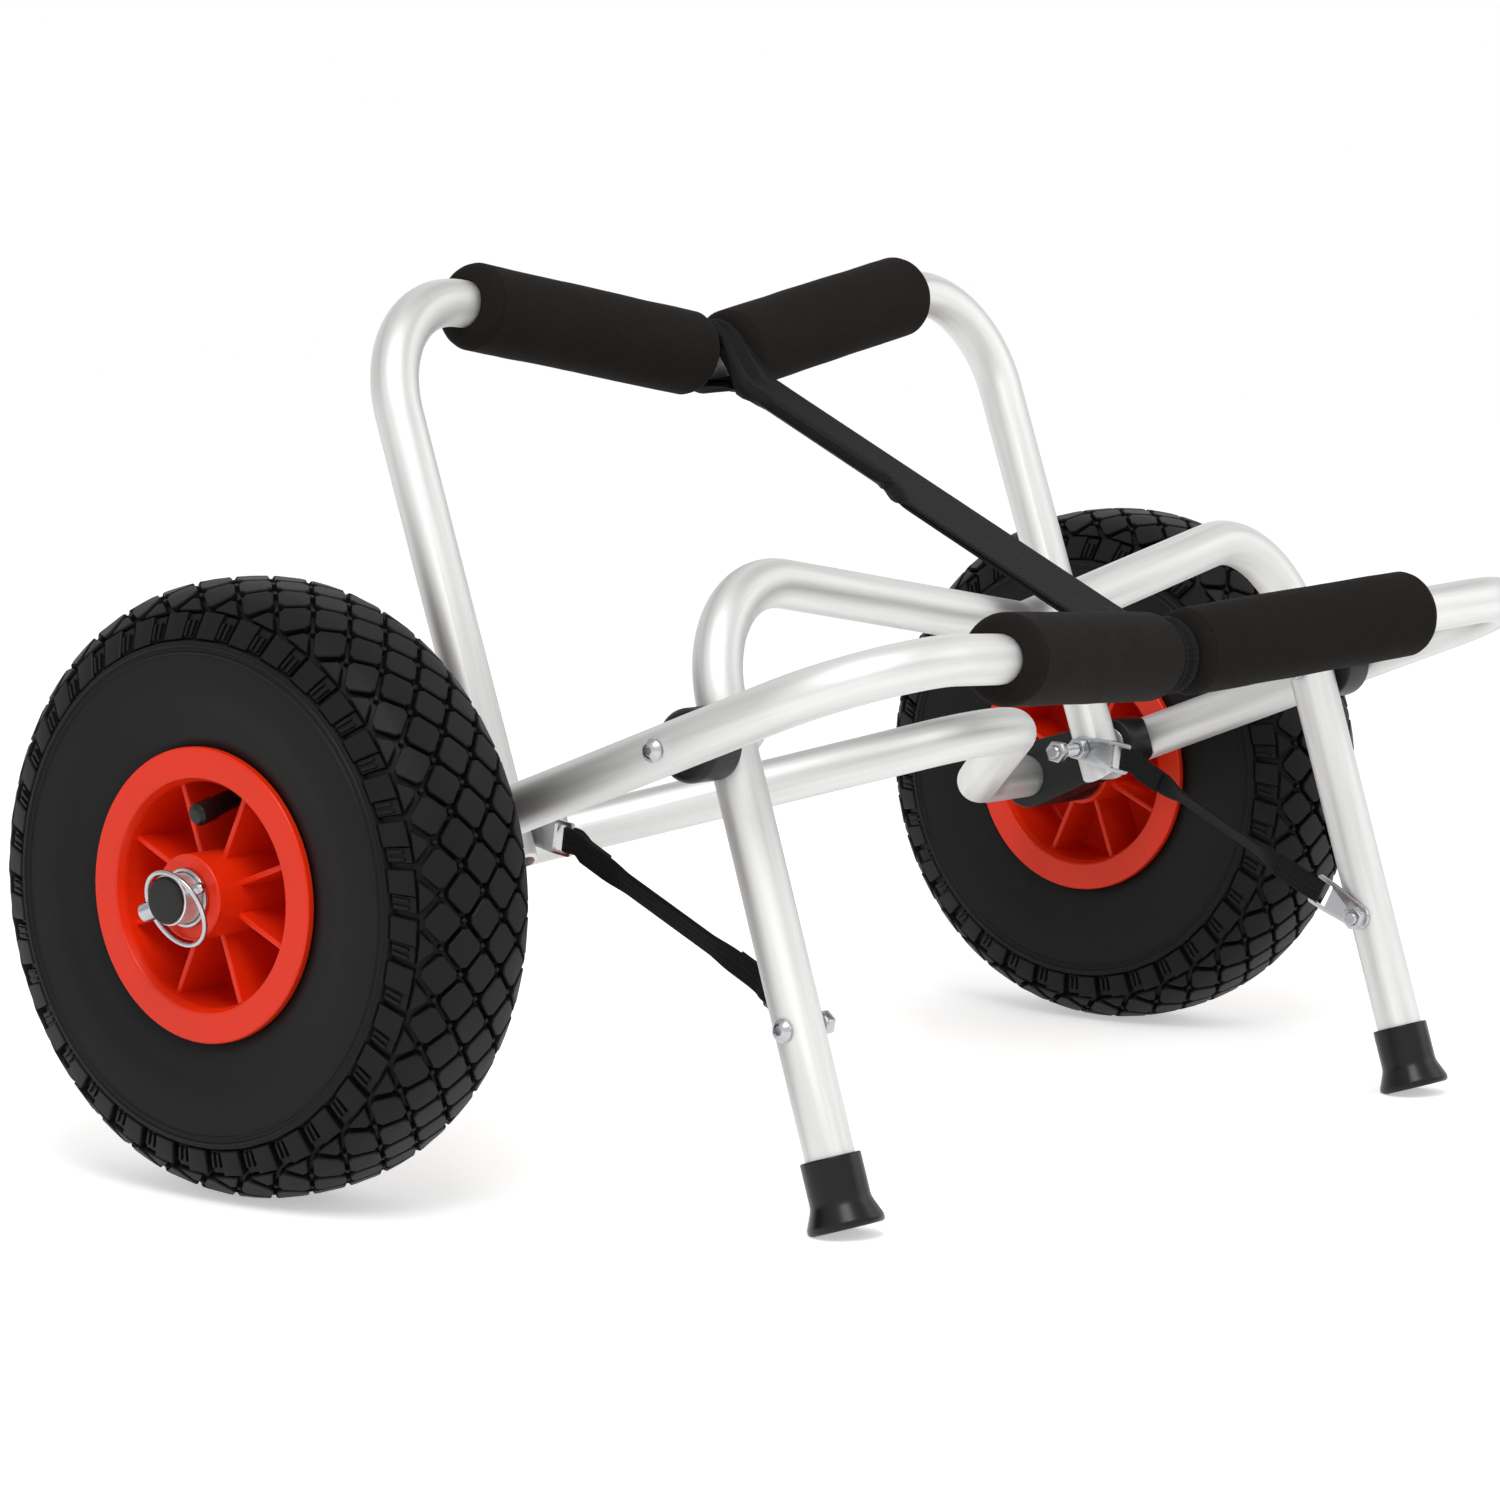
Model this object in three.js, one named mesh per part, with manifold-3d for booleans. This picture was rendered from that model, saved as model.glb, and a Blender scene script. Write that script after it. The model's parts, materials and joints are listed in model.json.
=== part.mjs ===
// Folding kayak cart: two V-shaped cradle frames and a folding stand on a bent axle with two
// pneumatic wheels. Millimetres, +Z up, X along the axle, the stand on the -Y side.
import * as THREE from 'three';
import { mergeVertices } from 'three/addons/utils/BufferGeometryUtils.js';
import Module from 'manifold-3d';

const wasm = await Module();
wasm.setup();

// Wheels and track
const wheelRadius = 130;
const tyreWidth = 76;
const halfTrack = 314;

// Tubes of the frames and the axle
const tubeDiameter = 21;
const tubeWall = 1.6;
const bendRadius = 50;
const veeBendRadius = 30;

// Across the cart: the bracket's boss past the front leg, and the step in to the rear leg
const bossProud = 7.7;
const legStep = 39;

// Front frame, measured along its legs from the axle
const frontLean = THREE.MathUtils.degToRad(68.8);
const frontLegStart = 45;
const frontCornerReach = 305;
const frontVeeReach = 253;

// Rear frame, measured along its legs from its pivot on the front frame
const rearPivotReach = 55;
const rearLean = THREE.MathUtils.degToRad(-19.6);
const rearLegTail = 17;
const rearCornerReach = 244;
const rearVeeReach = 205;

// Stand, measured along its legs from its pivot on the front frame
const standPivotReach = 186.5;
const standLean = THREE.MathUtils.degToRad(-18.1);
const standCornerReach = 73.5;
const standVeeReach = 34.5;
const clipBoltReach = 121;

// Bent axle
const axleKinkInset = 18.5;
const axleReach = 173;
const axleLean = THREE.MathUtils.degToRad(70.6);
const axleKinkRadius = 36;
const axleTipRadius = 50;

// Foam pads on the two V-shaped bars
const padDiameter = 39.5;
const padGapHalf = 10.5;
const padEdge = 4;

// Rubber feet
const footBottomRadius = 16.2;
const footTopRadius = 12.8;
const footHeight = 30;
const footFloor = 5;
const footFlare = 11;
const heelFlat = 2.6;

// Fasteners
const boltDiameter = 6;
const boltHeadDiameter = 10;
const boltHeadHeight = 3;
const nutAcrossCorners = 11;
const nutHeight = 5;
const endNutGap = 12.4;
const boltTail = 1.5;
const pivotWasherDiameter = 17;
const pivotWasherThickness = 1.5;

// Nylon brackets and spacers
const bracketHubRadius = 16;
const bracketPivotRadius = 12.5;
const saddleDepth = 5;
const standSpacerRadius = 15.5;
const spacerSaddleDepth = 2;

// Stand straps and the slotted steel clips that they loop through
const clipSheet = 2;
const clipEarRadius = 6;
const clipHeight = 15;
const clipSlotHeight = 11.6;
const clipBar = 2.8;
const clipNeck = 18;
const clipSlot = 7;
const upperClipDroop = THREE.MathUtils.degToRad(7.5);
const standStrapWidth = 10.8;
const standStrapThickness = 1.6;
const standStrapTaper = 6;

// Cradle strap between the middles of the two V-shaped bars
const cradleStrapThickness = 3.4;
const cradleStrapWidth = 38;
const cradleEyeWidth = 12;
const cradleStrapStandoff = 27;

// Rim, moulded in one piece
const rimFlangeRadius = 61.7;
const rimFlangeX = 37.4;
const rimFlangeInnerRadius = 49;
const rimSeatRadius = 56;
const rimBarrelRadius = 47;
const rimFlangeThickness = 4;
const rimWebX = -4;
const rimWebThickness = 4;
const hubRadius = 18;
const hubOuterX = 44;
const hubInnerX = -37.4;
const ribCount = 8;
const ribThickness = 2.6;
const ribEdgeX = 30.5;
const ribTurn = THREE.MathUtils.degToRad(24.5);

// Tyre and inner tube
const tyreWall = 5;
const treadWall = 9;
const beadWidth = 9;
const tyreShoulderPower = 0.72;
const innerTubeWall = 1.8;

// Valve
const valveAngle = THREE.MathUtils.degToRad(2);
const valveRadius = 4.2;
const valveRootX = 12;
const valveStemRadius = 41;
const valveTipX = 41;
const valveTipRadius = 33.5;
const valveBendRadius = 5.5;
const valveCapRadius = 4.9;
const valveCapLength = 10;

// Wheel retainer: washer, lock pin and its wire ring, and the axle's end plug
const washerRadius = 12.3;
const washerThickness = 2;
const lockPinRadius = 2.4;
const lockPinOffset = 5;
const lockPinTip = 17.3;
const lockHeadStart = 11.3;
const lockHeadLength = 8;
const lockHeadRadius = 4.3;
const lockTilt = THREE.MathUtils.degToRad(157);
const ringRadius = 16.7;
const ringWire = 1.1;
const ringSag = 0.9;
const ringLeanOut = THREE.MathUtils.degToRad(8);
const ringTwist = THREE.MathUtils.degToRad(-20);
const ringDroop = THREE.MathUtils.degToRad(12);
const plugFlange = 1.6;
const plugStem = 9;
const plugRim = 0.6;

// Named clearances
const touchGap = 0.3;
const runningGap = 0.4;
const overrun = 3;

// Facets
const tubeSides = 12;
const boreSides = 8;
const roundSides = 16;
const smallSides = 12;
const tyreSides = 24;
const tyreArcSteps = 12;
const cavityArcSteps = 8;
const rimSides = 18;
const wireSides = 6;
const ringSteps = 18;
const arcStep = THREE.MathUtils.degToRad(20);

// Sizes that follow from the ones above
const tubeRadius = tubeDiameter / 2;
const tubeBore = tubeRadius - tubeWall;
const boltRadius = boltDiameter / 2;
const boltHole = boltRadius + touchGap;
const nutRadius = nutAcrossCorners / 2;
const bracketHubEndX = halfTrack + hubInnerX - runningGap;
const frontOuterX = bracketHubEndX - bossProud;
const frontLegX = frontOuterX - tubeRadius;
const frontInnerX = frontLegX - tubeRadius;
const rearLegX = frontLegX - legStep;
const rearInnerX = rearLegX - tubeRadius;
const rearOuterX = rearLegX + tubeRadius;
const bracketInnerX = rearOuterX + 2 * touchGap + pivotWasherThickness;
const innerNutX = rearInnerX - touchGap;
const clipNutX = innerNutX - clipSheet - touchGap;
const endNutX = clipNutX - nutHeight - endNutGap;
const washerX = halfTrack + hubOuterX + touchGap;
const lockPinX = washerX + washerThickness + runningGap + lockHeadRadius;
const axleEndX = lockPinX + lockPinOffset;
const axleKinkX = rearInnerX - axleKinkInset;

// The pads fill the straight half of the rear bar, from its middle gap to the corner's bend
const rearBarDip = rearCornerReach - rearVeeReach;
const rearCornerTurn = Math.PI / 2 + Math.atan2(rearBarDip, rearLegX);
const rearBarRun = Math.hypot(rearLegX, rearBarDip) - bendRadius * Math.tan(rearCornerTurn / 2);
const padLength = rearBarRun - padGapHalf - touchGap;

// Materials
function finish(color, roughness, metalness) {
  return new THREE.MeshStandardMaterial({ color, roughness, metalness });
}
const aluminium = finish(0xd6d8da, 0.35, 0.9);
const steel = finish(0xb9bbbd, 0.25, 1);
const foam = finish(0x1c1c1c, 0.95, 0);
const webbing = finish(0x151515, 0.85, 0);
const rubber = finish(0x181818, 0.8, 0);
const nylon = finish(0x141414, 0.5, 0);
const redPlastic = finish(0xe2381c, 0.3, 0);

// A path through given stations, each with its own tangent, so that straight runs take one step
class StationPath extends THREE.Curve {
  constructor(stations) {
    super();
    this.stations = stations;
  }

  station(t) {
    return this.stations[Math.round(t * (this.stations.length - 1))];
  }

  getPoint(t, target = new THREE.Vector3()) {
    return target.copy(this.station(t).point);
  }

  getPointAt(u, target) {
    return this.getPoint(u, target);
  }

  getTangentAt(u, target = new THREE.Vector3()) {
    return target.copy(this.station(u).tangent);
  }
}

// Rounds the inner corners of a polyline to the given radii
function roundedPath(points, radii) {
  const stations = [];
  const heading = (a, b) => b.clone().sub(a).normalize();
  stations.push({ point: points[0].clone(), tangent: heading(points[0], points[1]) });
  for (let i = 1; i < points.length - 1; i += 1) {
    const before = heading(points[i - 1], points[i]);
    const after = heading(points[i], points[i + 1]);
    const turn = before.angleTo(after);
    const radius = radii[i - 1];
    const start = points[i].clone().addScaledVector(before, -radius * Math.tan(turn / 2));
    const side = after.clone().addScaledVector(before, -Math.cos(turn)).divideScalar(Math.sin(turn));
    const steps = Math.max(1, Math.ceil(turn / arcStep));
    for (let k = 0; k <= steps; k += 1) {
      const angle = (turn * k) / steps;
      const point = start.clone().addScaledVector(before, radius * Math.sin(angle));
      point.addScaledVector(side, radius * (1 - Math.cos(angle)));
      const tangent = before.clone().multiplyScalar(Math.cos(angle));
      tangent.addScaledVector(side, Math.sin(angle));
      stations.push({ point, tangent });
    }
  }
  const last = points.length - 1;
  stations.push({ point: points[last].clone(), tangent: heading(points[last - 1], points[last]) });
  return new StationPath(stations);
}

function circle(radius, sides) {
  const points = [];
  for (let i = 0; i < sides; i += 1) {
    const angle = (2 * Math.PI * i) / sides;
    points.push(new THREE.Vector2(radius * Math.cos(angle), radius * Math.sin(angle)));
  }
  return points;
}

// A round tube, or a rod where bore is zero, along a path
function tubeAlong(path, radius, bore, sides) {
  const section = new THREE.Shape(circle(radius, sides));
  if (bore > 0) {
    section.holes.push(new THREE.Path(circle(bore, boreSides)));
  }
  return new THREE.ExtrudeGeometry(section, { steps: path.stations.length - 1, extrudePath: path });
}

// A solid cylinder along X
function rodX(radius, fromX, toX, sides = smallSides) {
  const rod = new THREE.CylinderGeometry(radius, radius, Math.abs(toX - fromX), sides);
  return rod.rotateZ(Math.PI / 2).translate((fromX + toX) / 2, 0, 0);
}

// A solid of revolution about X, from radius and X pairs that go round its section
function turnedX(profile, sides, phase = 0) {
  const points = profile.map(([radius, x]) => new THREE.Vector2(radius, x));
  const closed = points[0].x > 0;
  const ring = closed ? [...points, points[0].clone()] : points;
  if (THREE.ShapeUtils.area(points) < 0) {
    ring.reverse();
  }
  const turned = new THREE.LatheGeometry(ring, sides, phase);
  return turned.rotateZ(-Math.PI / 2);
}

// Merges a geometry's vertices into a closed solid that can be cut and joined
function solidOf(geometry) {
  const plain = geometry.clone();
  plain.deleteAttribute('normal');
  plain.deleteAttribute('uv');
  const merged = mergeVertices(plain);
  const corners = merged.index.array;
  const kept = [];
  for (let i = 0; i < corners.length; i += 3) {
    const [a, b, c] = corners.slice(i, i + 3);
    if (a !== b && b !== c && c !== a) {
      kept.push(a, b, c);
    }
  }
  return new wasm.Manifold(new wasm.Mesh({
    numProp: 3,
    vertProperties: new Float32Array(merged.attributes.position.array),
    triVerts: new Uint32Array(kept),
  }));
}

function geometryOf(solid) {
  const { vertProperties, triVerts } = solid.getMesh();
  const geometry = new THREE.BufferGeometry();
  geometry.setAttribute('position', new THREE.BufferAttribute(new Float32Array(vertProperties), 3));
  geometry.setIndex(new THREE.BufferAttribute(new Uint32Array(triVerts), 1));
  geometry.computeVertexNormals();
  return geometry;
}

function cut(body, ...tools) {
  return geometryOf(tools.reduce((left, tool) => left.subtract(solidOf(tool)), solidOf(body)));
}

function join(...bodies) {
  return geometryOf(bodies.map(solidOf).reduce((whole, body) => whole.add(body)));
}

function addMesh(parent, name, geometry, material) {
  const mesh = new THREE.Mesh(geometry, material);
  mesh.name = name;
  parent.add(mesh);
  return mesh;
}

const sides = [
  { name: 'left', sign: -1 },
  { name: 'right', sign: 1 },
];

// Mirrors a geometry across the cart's middle plane and keeps its faces pointing out
function onSide(geometry, sign) {
  if (sign > 0) {
    return geometry;
  }
  const mirrored = geometry.index ? geometry.toNonIndexed() : geometry.clone();
  mirrored.scale(-1, 1, 1);
  const { array } = mirrored.attributes.position;
  for (let i = 0; i < array.length; i += 9) {
    for (let k = 0; k < 3; k += 1) {
      [array[i + k], array[i + 3 + k]] = [array[i + 3 + k], array[i + k]];
    }
  }
  mirrored.computeVertexNormals();
  return mirrored;
}

// A frame of one tube: two legs, two corners and a bar that dips to the middle
function veeFrame(legX, legStart, cornerReach, veeReach) {
  const points = [
    new THREE.Vector3(-legX, 0, legStart),
    new THREE.Vector3(-legX, 0, cornerReach),
    new THREE.Vector3(0, 0, veeReach),
    new THREE.Vector3(legX, 0, cornerReach),
    new THREE.Vector3(legX, 0, legStart),
  ];
  const path = roundedPath(points, [bendRadius, veeBendRadius, bendRadius]);
  return tubeAlong(path, tubeRadius, tubeBore, tubeSides);
}

// A drill through both legs of a frame at one height
function legDrill(legX, z) {
  const reach = legX + tubeDiameter;
  return rodX(boltHole, -reach, reach).translate(0, 0, z);
}

// A foam sleeve on one half of a V-shaped bar
function foamPad(legX, cornerReach, veeReach) {
  const outer = padDiameter / 2;
  const bore = tubeRadius + touchGap;
  const profile = [
    [bore, 0],
    [outer - padEdge, 0],
    [outer, padEdge],
    [outer, padLength - padEdge],
    [outer - padEdge, padLength],
    [bore, padLength],
  ];
  const climb = Math.atan2(cornerReach - veeReach, legX);
  const pad = turnedX(profile, roundSides).translate(padGapHalf, 0, 0);
  return pad.rotateY(-climb).translate(0, 0, veeReach);
}

// Bolt along X with its head at the outer end and the nut's end at the inner one
function bolt(headX, tipX) {
  const head = boltHeadDiameter / 2;
  const dome = head - boltHeadHeight / 2;
  return turnedX([
    [0, tipX],
    [boltRadius, tipX],
    [boltRadius, headX],
    [head, headX],
    [head, headX + boltHeadHeight / 2],
    [dome, headX + boltHeadHeight],
    [0, headX + boltHeadHeight],
  ], smallSides);
}

function hexNut(outerX) {
  const body = rodX(nutRadius, outerX - nutHeight, outerX, 6);
  return cut(body, rodX(boltHole, outerX - nutHeight - overrun, outerX + overrun));
}

const cart = new THREE.Group();

// Front frame: its legs run forward from the axle brackets
const frontGroup = new THREE.Group();
frontGroup.position.set(0, 0, wheelRadius);
frontGroup.rotation.x = frontLean;
cart.add(frontGroup);

const frontTube = cut(
  veeFrame(frontLegX, frontLegStart, frontCornerReach, frontVeeReach),
  legDrill(frontLegX, rearPivotReach),
  legDrill(frontLegX, standPivotReach),
);
addMesh(frontGroup, 'front_frame_tube', frontTube, aluminium);

// Rear frame: stands up from a pivot near the axle
const rearGroup = new THREE.Group();
rearGroup.position.set(0, 0, rearPivotReach);
rearGroup.rotation.x = rearLean - frontLean;
frontGroup.add(rearGroup);

// The legs end in a rounded nose below the pivot
function rearFrameTube() {
  const nose = tubeRadius + touchGap;
  const heelRadius = rearLegTail + overrun;
  const blanks = sides.map(({ sign }) => {
    const block = new THREE.BoxGeometry(2 * nose, 2 * heelRadius, heelRadius);
    return block.translate(sign * rearLegX, 0, -heelRadius / 2 - overrun);
  });
  const noses = sides.map(({ sign }) => {
    const wide = rodX(rearLegTail, -nose, nose, 2 * tubeSides);
    return wide.translate(sign * rearLegX, 0, 0);
  });
  const trims = blanks.map((blank, i) => cut(blank, noses[i]));
  return cut(
    veeFrame(rearLegX, -rearLegTail, rearCornerReach, rearVeeReach),
    legDrill(rearLegX, 0),
    ...trims,
  );
}
addMesh(rearGroup, 'rear_frame_tube', rearFrameTube(), aluminium);

// Stand: a shorter frame that pivots on the front frame's legs
const standGroup = new THREE.Group();
standGroup.position.set(0, 0, standPivotReach);
standGroup.rotation.x = standLean - frontLean;
frontGroup.add(standGroup);

const standPivotHeight = wheelRadius + standPivotReach * Math.cos(frontLean);
const footCentreHeight = footBottomRadius * Math.sin(-standLean) - heelFlat;
const footReach = (standPivotHeight - footCentreHeight) / Math.cos(standLean);
const standTube = cut(
  veeFrame(rearLegX, footFloor + touchGap - footReach, standCornerReach, standVeeReach),
  legDrill(rearLegX, 0),
  legDrill(rearLegX, -clipBoltReach),
);
addMesh(standGroup, 'stand_tube', standTube, aluminium);

// Foam pads on the front and rear bars
for (const { name, sign } of sides) {
  const frontPad = onSide(foamPad(frontLegX, frontCornerReach, frontVeeReach), sign);
  addMesh(frontGroup, `front_pad_${name}`, frontPad, foam);
  const rearPad = onSide(foamPad(rearLegX, rearCornerReach, rearVeeReach), sign);
  addMesh(rearGroup, `rear_pad_${name}`, rearPad, foam);
}

// Rubber foot: a flared cap, with its heel pressed flat by the ground
function footCap() {
  const bore = tubeRadius + touchGap;
  const cap = turnedX([
    [0, 0],
    [footBottomRadius, 0],
    [footTopRadius, footFlare],
    [footTopRadius, footHeight],
    [bore, footHeight],
    [bore, footFloor],
    [0, footFloor],
  ], roundSides);
  const ground = new THREE.BoxGeometry(4 * footBottomRadius, 4 * footBottomRadius, footHeight);
  ground.translate(0, 0, -footHeight / 2 - footCentreHeight);
  ground.rotateX(-standLean);
  const upright = cap.rotateY(-Math.PI / 2);
  return cut(upright, ground).translate(rearLegX, 0, -footReach);
}
for (const { name, sign } of sides) {
  addMesh(standGroup, `foot_cap_${name}`, onSide(footCap(), sign), rubber);
}

// The hole for the lock pin, across one end of the axle
function lockPinDrill() {
  const radius = lockPinRadius + touchGap;
  const drill = new THREE.CylinderGeometry(radius, radius, 2 * tubeDiameter, smallSides);
  return drill.rotateX(lockTilt).translate(lockPinX, 0, 0);
}

// Bent axle: straight through each wheel, with a shallow V between them
function axleTube() {
  const dip = new THREE.Vector3(0, -axleReach * Math.sin(axleLean), axleReach * Math.cos(axleLean));
  const points = [
    new THREE.Vector3(-axleEndX, 0, 0),
    new THREE.Vector3(-axleKinkX, 0, 0),
    dip,
    new THREE.Vector3(axleKinkX, 0, 0),
    new THREE.Vector3(axleEndX, 0, 0),
  ];
  const path = roundedPath(points, [axleKinkRadius, axleTipRadius, axleKinkRadius]);
  const drills = sides.map(({ sign }) => onSide(lockPinDrill(), sign));
  return cut(tubeAlong(path, tubeRadius, tubeBore, tubeSides), ...drills);
}
const axleGroup = new THREE.Group();
axleGroup.position.set(0, 0, wheelRadius);
cart.add(axleGroup);
addMesh(axleGroup, 'axle_tube', axleTube(), aluminium);

// Axle bracket: a nylon link from the axle to the rear pivot, with a saddle round the front leg
function axleBracket() {
  const spread = Math.asin((bracketHubRadius - bracketPivotRadius) / rearPivotReach);
  const outline = new THREE.Shape();
  outline.absarc(0, 0, bracketHubRadius, Math.PI / 2 - spread, 1.5 * Math.PI + spread, false);
  outline.absarc(rearPivotReach, 0, bracketPivotRadius, spread - Math.PI / 2, Math.PI / 2 - spread, false);
  const armEndX = frontInnerX + saddleDepth;
  const arm = new THREE.ExtrudeGeometry(outline, {
    depth: armEndX - bracketInnerX,
    bevelEnabled: false,
    curveSegments: 5,
  });
  arm.rotateY(-Math.PI / 2).translate(armEndX, 0, 0);
  const boss = rodX(bracketHubRadius, bracketInnerX, bracketHubEndX, roundSides);
  const axleBore = rodX(tubeRadius + touchGap, bracketInnerX - overrun, bracketHubEndX + overrun, roundSides);
  const boltBore = rodX(boltHole, bracketInnerX - overrun, armEndX + overrun);
  const legRadius = tubeRadius + touchGap;
  const leg = new THREE.CylinderGeometry(legRadius, legRadius, frontCornerReach, 2 * tubeSides);
  leg.rotateX(Math.PI / 2).translate(frontLegX, 0, frontLegStart - touchGap + frontCornerReach / 2);
  return cut(join(arm, boss), axleBore, boltBore.translate(0, 0, rearPivotReach), leg);
}

// Stand spacer: a nylon disc between the two legs, with a saddle round the front leg
function standSpacer() {
  const endX = frontInnerX + spacerSaddleDepth;
  const disc = rodX(standSpacerRadius, rearOuterX + touchGap, endX, roundSides);
  const hole = rodX(boltHole, rearOuterX - overrun, endX + overrun);
  const legRadius = tubeRadius + touchGap;
  const leg = new THREE.CylinderGeometry(legRadius, legRadius, 4 * standSpacerRadius, 2 * tubeSides);
  leg.rotateX(Math.PI / 2).translate(frontLegX, 0, 0);
  return cut(disc, hole, leg).translate(0, 0, standPivotReach);
}

for (const { name, sign } of sides) {
  addMesh(frontGroup, `axle_bracket_${name}`, onSide(axleBracket(), sign), nylon);
  addMesh(frontGroup, `stand_spacer_${name}`, onSide(standSpacer(), sign), nylon);

  const washer = turnedX([
    [boltHole, rearOuterX + touchGap],
    [pivotWasherDiameter / 2, rearOuterX + touchGap],
    [pivotWasherDiameter / 2, rearOuterX + touchGap + pivotWasherThickness],
    [boltHole, rearOuterX + touchGap + pivotWasherThickness],
  ], roundSides).translate(0, 0, rearPivotReach);
  addMesh(frontGroup, `pivot_washer_${name}`, onSide(washer, sign), steel);

  const pivotBolt = bolt(frontOuterX + touchGap, endNutX - nutHeight - boltTail);
  pivotBolt.translate(0, 0, rearPivotReach);
  addMesh(frontGroup, `rear_pivot_bolt_${name}`, onSide(pivotBolt, sign), steel);
  const pivotNut = hexNut(clipNutX).translate(0, 0, rearPivotReach);
  addMesh(frontGroup, `rear_pivot_nut_${name}`, onSide(pivotNut, sign), steel);
  const endNut = hexNut(endNutX).translate(0, 0, rearPivotReach);
  addMesh(frontGroup, `rear_pivot_end_nut_${name}`, onSide(endNut, sign), steel);

  const standBolt = bolt(frontOuterX + touchGap, innerNutX - nutHeight - boltTail);
  standBolt.translate(0, 0, standPivotReach);
  addMesh(frontGroup, `stand_pivot_bolt_${name}`, onSide(standBolt, sign), steel);
  const standNut = hexNut(innerNutX).translate(0, 0, standPivotReach);
  addMesh(frontGroup, `stand_pivot_nut_${name}`, onSide(standNut, sign), steel);
}

// Steel clip: a flat plate with a round ear on the bolt and a slot for webbing out along +Z
function strapClip() {
  const half = clipHeight / 2;
  const slotHalf = clipSlotHeight / 2;
  const tip = clipNeck + clipSlot + clipBar;
  const spread = Math.asin((half - clipEarRadius) / clipNeck);
  const outline = new THREE.Shape();
  outline.absarc(0, 0, clipEarRadius, Math.PI / 2 + spread, 1.5 * Math.PI - spread, false);
  outline.lineTo(clipNeck, -half);
  outline.lineTo(tip, -half);
  outline.lineTo(tip, half);
  outline.lineTo(clipNeck, half);
  outline.holes.push(new THREE.Path(circle(boltHole, boreSides)));
  outline.holes.push(new THREE.Path([
    new THREE.Vector2(clipNeck, -slotHalf),
    new THREE.Vector2(clipNeck + clipSlot, -slotHalf),
    new THREE.Vector2(clipNeck + clipSlot, slotHalf),
    new THREE.Vector2(clipNeck, slotHalf),
  ]));
  const plate = new THREE.ExtrudeGeometry(outline, {
    depth: clipSheet,
    bevelEnabled: false,
    curveSegments: 5,
  });
  return plate.rotateY(-Math.PI / 2).translate(innerNutX, 0, 0);
}

// The upper clip leans down from level, and the strap runs from its end bar straight towards
// the lower bolt; a turn about X brings +Z onto that line
const upperBolt = new THREE.Vector2(
  -rearPivotReach * Math.sin(frontLean),
  wheelRadius + rearPivotReach * Math.cos(frontLean),
);
const lowerBolt = new THREE.Vector2(
  -standPivotReach * Math.sin(frontLean) + clipBoltReach * Math.sin(standLean),
  standPivotHeight - clipBoltReach * Math.cos(standLean),
);
const clipBarReach = clipNeck + clipSlot + clipBar / 2;
const upperClipTurn = Math.PI / 2 + upperClipDroop;
const upperBar = new THREE.Vector2(-Math.sin(upperClipTurn), Math.cos(upperClipTurn));
upperBar.multiplyScalar(clipBarReach).add(upperBolt);
const strapRun = upperBar.clone().sub(lowerBolt);
const strapTurn = -Math.atan2(strapRun.x, strapRun.y);
const strapSpan = strapRun.length() - clipBarReach;

for (const { name, sign } of sides) {
  const upper = addMesh(frontGroup, `strap_clip_upper_${name}`, onSide(strapClip(), sign), steel);
  upper.position.set(0, 0, rearPivotReach);
  upper.rotation.x = upperClipTurn - frontLean;

  const lower = addMesh(standGroup, `strap_clip_lower_${name}`, onSide(strapClip(), sign), steel);
  lower.position.set(0, 0, -clipBoltReach);
  lower.rotation.x = strapTurn - standLean;

  const clipBolt = bolt(rearOuterX + touchGap, clipNutX - nutHeight - boltTail);
  addMesh(standGroup, `clip_bolt_${name}`, onSide(clipBolt.translate(0, 0, -clipBoltReach), sign), steel);
  const clipNut = hexNut(clipNutX).translate(0, 0, -clipBoltReach);
  addMesh(standGroup, `clip_nut_${name}`, onSide(clipNut, sign), steel);
}

// A loop of webbing round a clip's end bar, with its neck towards +Z
function strapEye() {
  const slotDeep = clipBar / 2 + touchGap;
  const slotThick = clipSheet / 2 + touchGap;
  const eyeDeep = slotDeep + standStrapThickness;
  const eyeThick = slotThick + standStrapThickness;
  const corners = (deep, thick) => [
    new THREE.Vector2(-deep, -thick),
    new THREE.Vector2(deep, -thick),
    new THREE.Vector2(deep, thick),
    new THREE.Vector2(-deep, thick),
  ];
  const neck = eyeDeep + standStrapTaper;
  const outline = new THREE.Shape([
    ...corners(eyeDeep, eyeThick).slice(0, 2),
    new THREE.Vector2(neck, -standStrapThickness / 2),
    new THREE.Vector2(neck, standStrapThickness / 2),
    ...corners(eyeDeep, eyeThick).slice(2),
  ]);
  outline.holes.push(new THREE.Path(corners(slotDeep, slotThick)));
  const band = new THREE.ExtrudeGeometry(outline, { depth: standStrapWidth, bevelEnabled: false });
  return band.translate(0, 0, -standStrapWidth / 2).rotateY(-Math.PI / 2).rotateZ(-Math.PI / 2);
}

// Stand strap: webbing from the lower clip up to the upper one, which lies at an angle to it
function standStrap() {
  const barX = innerNutX - clipSheet / 2;
  const fold = upperClipTurn - Math.PI - strapTurn;
  const neck = clipBar / 2 + touchGap + standStrapThickness + standStrapTaper;
  const bandRun = strapSpan - 2 * neck + 2 * touchGap;
  const band = new THREE.BoxGeometry(standStrapThickness, standStrapWidth, bandRun);
  band.translate(0, 0, strapSpan / 2);
  const upperEye = strapEye().rotateX(Math.PI + fold).translate(0, 0, strapSpan);
  return join(strapEye(), band, upperEye).translate(barX, 0, 0);
}
const lowerBar = strapRun.clone().setLength(clipBarReach).add(lowerBolt);
for (const { name, sign } of sides) {
  const strap = addMesh(cart, `stand_strap_${name}`, onSide(standStrap(), sign), webbing);
  strap.position.set(0, lowerBar.x, lowerBar.y);
  strap.rotation.x = strapTurn;
}

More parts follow.
